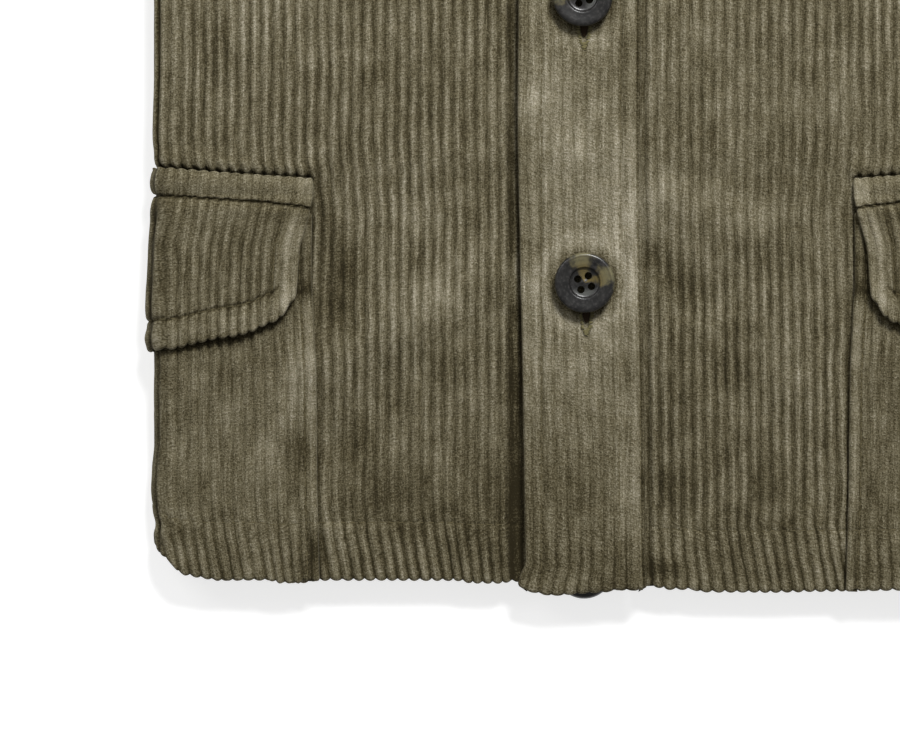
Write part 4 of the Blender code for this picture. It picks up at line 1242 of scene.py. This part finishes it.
def horn():
    """Polished dark horn with amber-tan flashes, and painted light on one side of its sunk middle."""
    finish = Finish("dark horn", 0.34, 0.34, Coat_Weight=0.1, Coat_Roughness=0.2)
    noise, mixed, maths = finish.noise, finish.mixed, finish.maths
    face, x, y = finish.flat_layer("face")
    reach = maths("SQRT", x * x + y * y)
    cloudy = noise(face, 2.6, 4.0, 0.6, 0.4)
    fine = noise(face, 9.0, 4.0, 0.65)
    rings = noise(finish.vector(reach * 14, cloudy * 1.5), 1.0, 2.0, 0.6)
    base = mixed(cloudy.between(0.35, 0.7), (0.005, 0.0048, 0.0044, 1), (0.015, 0.0143, 0.0132, 1))
    base = mixed(fine.between(0.45, 0.7) * 0.6, base, (0.045, 0.042, 0.04, 1))
    # Painted light on one side of the sunk middle, the side that lies lowest on the first button.
    painted_well_light = (1 - reach.between(0.36, 0.5)) * (0.0 - y).between(0.12, 0.42) * 0.7
    base = mixed(painted_well_light, base, (0.105, 0.11, 0.1, 1))
    turn = maths("ARCTAN2", y, x) + (cloudy - 0.5) * 1.5
    upper = 1 - maths("ABSOLUTE", turn - 1.66).between(0.12, 0.6)
    right = 1 - maths("ABSOLUTE", turn - 0.3).between(0.1, 0.52)
    flash = maths("MINIMUM", upper + right, 1.0)
    amber = mixed(reach.between(0.35, 0.9), (0.105, 0.077, 0.022, 1), (0.135, 0.122, 0.066, 1))
    amber = mixed(rings.between(0.4, 0.62) * 0.5, amber, (0.075, 0.06, 0.022, 1))
    colour = mixed(flash * (0.9 - fine.between(0.45, 0.7) * 0.25), base, amber)
    colour = mixed(rings.between(0.5, 0.7) * 0.25, colour, (0.02, 0.018, 0.019, 1))
    finish.set(Base_Color=colour, Normal=finish.bump(0.12, 0.0002, fine))
    return finish.material


# Light, floor and camera


def softbox(name, place, aim, wide, high, watts):
    light = bpy.data.lights.new(name, "AREA")
    light.shape, light.size, light.size_y, light.energy = "RECTANGLE", wide, high, watts
    lamp = add_object(name, light)
    lamp.location = place
    lamp.rotation_euler = (Vector(aim) - Vector(place)).to_track_quat("-Z", "Y").to_euler()


def set_stage():
    """A white floor just under the garment, a pale surround and two softboxes."""
    bm = bmesh.new()
    bmesh.ops.create_grid(bm, x_segments=1, y_segments=1, size=6)
    floor = add_object("floor", as_mesh(bm, "floor"))
    floor.location = (0, 0, -0.0004)
    glow = {"Emission_Color": (1, 1, 1, 1), "Emission_Strength": 0.7}
    white = Finish("white floor", 0.9, 0.0, Base_Color=(0.5, 0.5, 0.5, 1), **glow)
    floor.data.materials.append(white.material)
    world = bpy.data.worlds.new("studio")
    bpy.context.scene.world = world
    world.use_nodes = True
    sky = world.node_tree.nodes["Background"]
    sky.inputs["Color"].default_value = (1.0, 1.0, 1.0, 1)
    sky.inputs["Strength"].default_value = 0.28
    softbox("key", (0.5, 1.1, 1.45), (0, -0.15, 0), 0.55, 0.45, 58)
    softbox("left", (-1.2, 0.9, 1.2), (0, -0.2, 0), 0.9, 0.9, 9)
    bpy.context.scene.view_settings.view_transform = "Standard"


def set_camera():
    """Straight down over the part of the jacket that the photo shows, from 1.3 m."""
    x = (IMAGE[0] / 2 - ZERO_PIXEL[0]) / PIXELS_PER_MM
    v = (ZERO_PIXEL[1] - IMAGE[1] / 2) / PIXELS_PER_MM
    level, above = 14.0, 1300.0
    data = bpy.data.cameras.new("camera")
    data.sensor_width = 36.0
    data.lens = data.sensor_width * above / (IMAGE[0] / PIXELS_PER_MM)
    camera = add_object("camera", data)
    camera.location = Vector((x, v - MIDDLE, level + above)) * MM
    bpy.context.scene.camera = camera


# The garment

body_cloth = corduroy("olive corduroy", 1.1)
pocket_cloth = corduroy("olive corduroy, pockets", 0.9)
placket_cloth = corduroy("olive corduroy, placket", 0.5)
thread = plain("olive thread", (84, 77, 55))
hole_thread = plain("yellow-olive thread", (105, 99, 69))
slit_shade = plain("cloth in shadow", (44, 34, 23))
dark_horn = horn()

on_placket = []
for name in BUTTONS[:6]:
    middle, radius, _, _ = box_of(name)
    on_placket.append((middle, radius / MM))

for side in (-1, 1):
    front(side, body_cloth)
    pocket(side, pocket_cloth)
    flap(side, pocket_cloth)
    sleeve(side, body_cloth)
    cuff(side, body_cloth)
    for upper in (False, True):
        layer = hem_layers(side, upper, body_cloth)
folded_layers(body_cloth)
for name, (spot, _) in zip(BUTTONS, on_placket):
    x, v, level = spot.x / MM + 0.3, spot.y / MM + MIDDLE, spot.z / MM - 2.2
    buttonhole("buttonhole_" + name[-1], x, v, level, hole_thread, slit_shade)
placket(placket_cloth, on_placket)
under_placket(body_cloth)
collar(body_cloth)
stand(body_cloth)
for i, name in enumerate(BUTTONS):
    button(name, dark_horn, 1.3 * i)

set_stage()
set_camera()
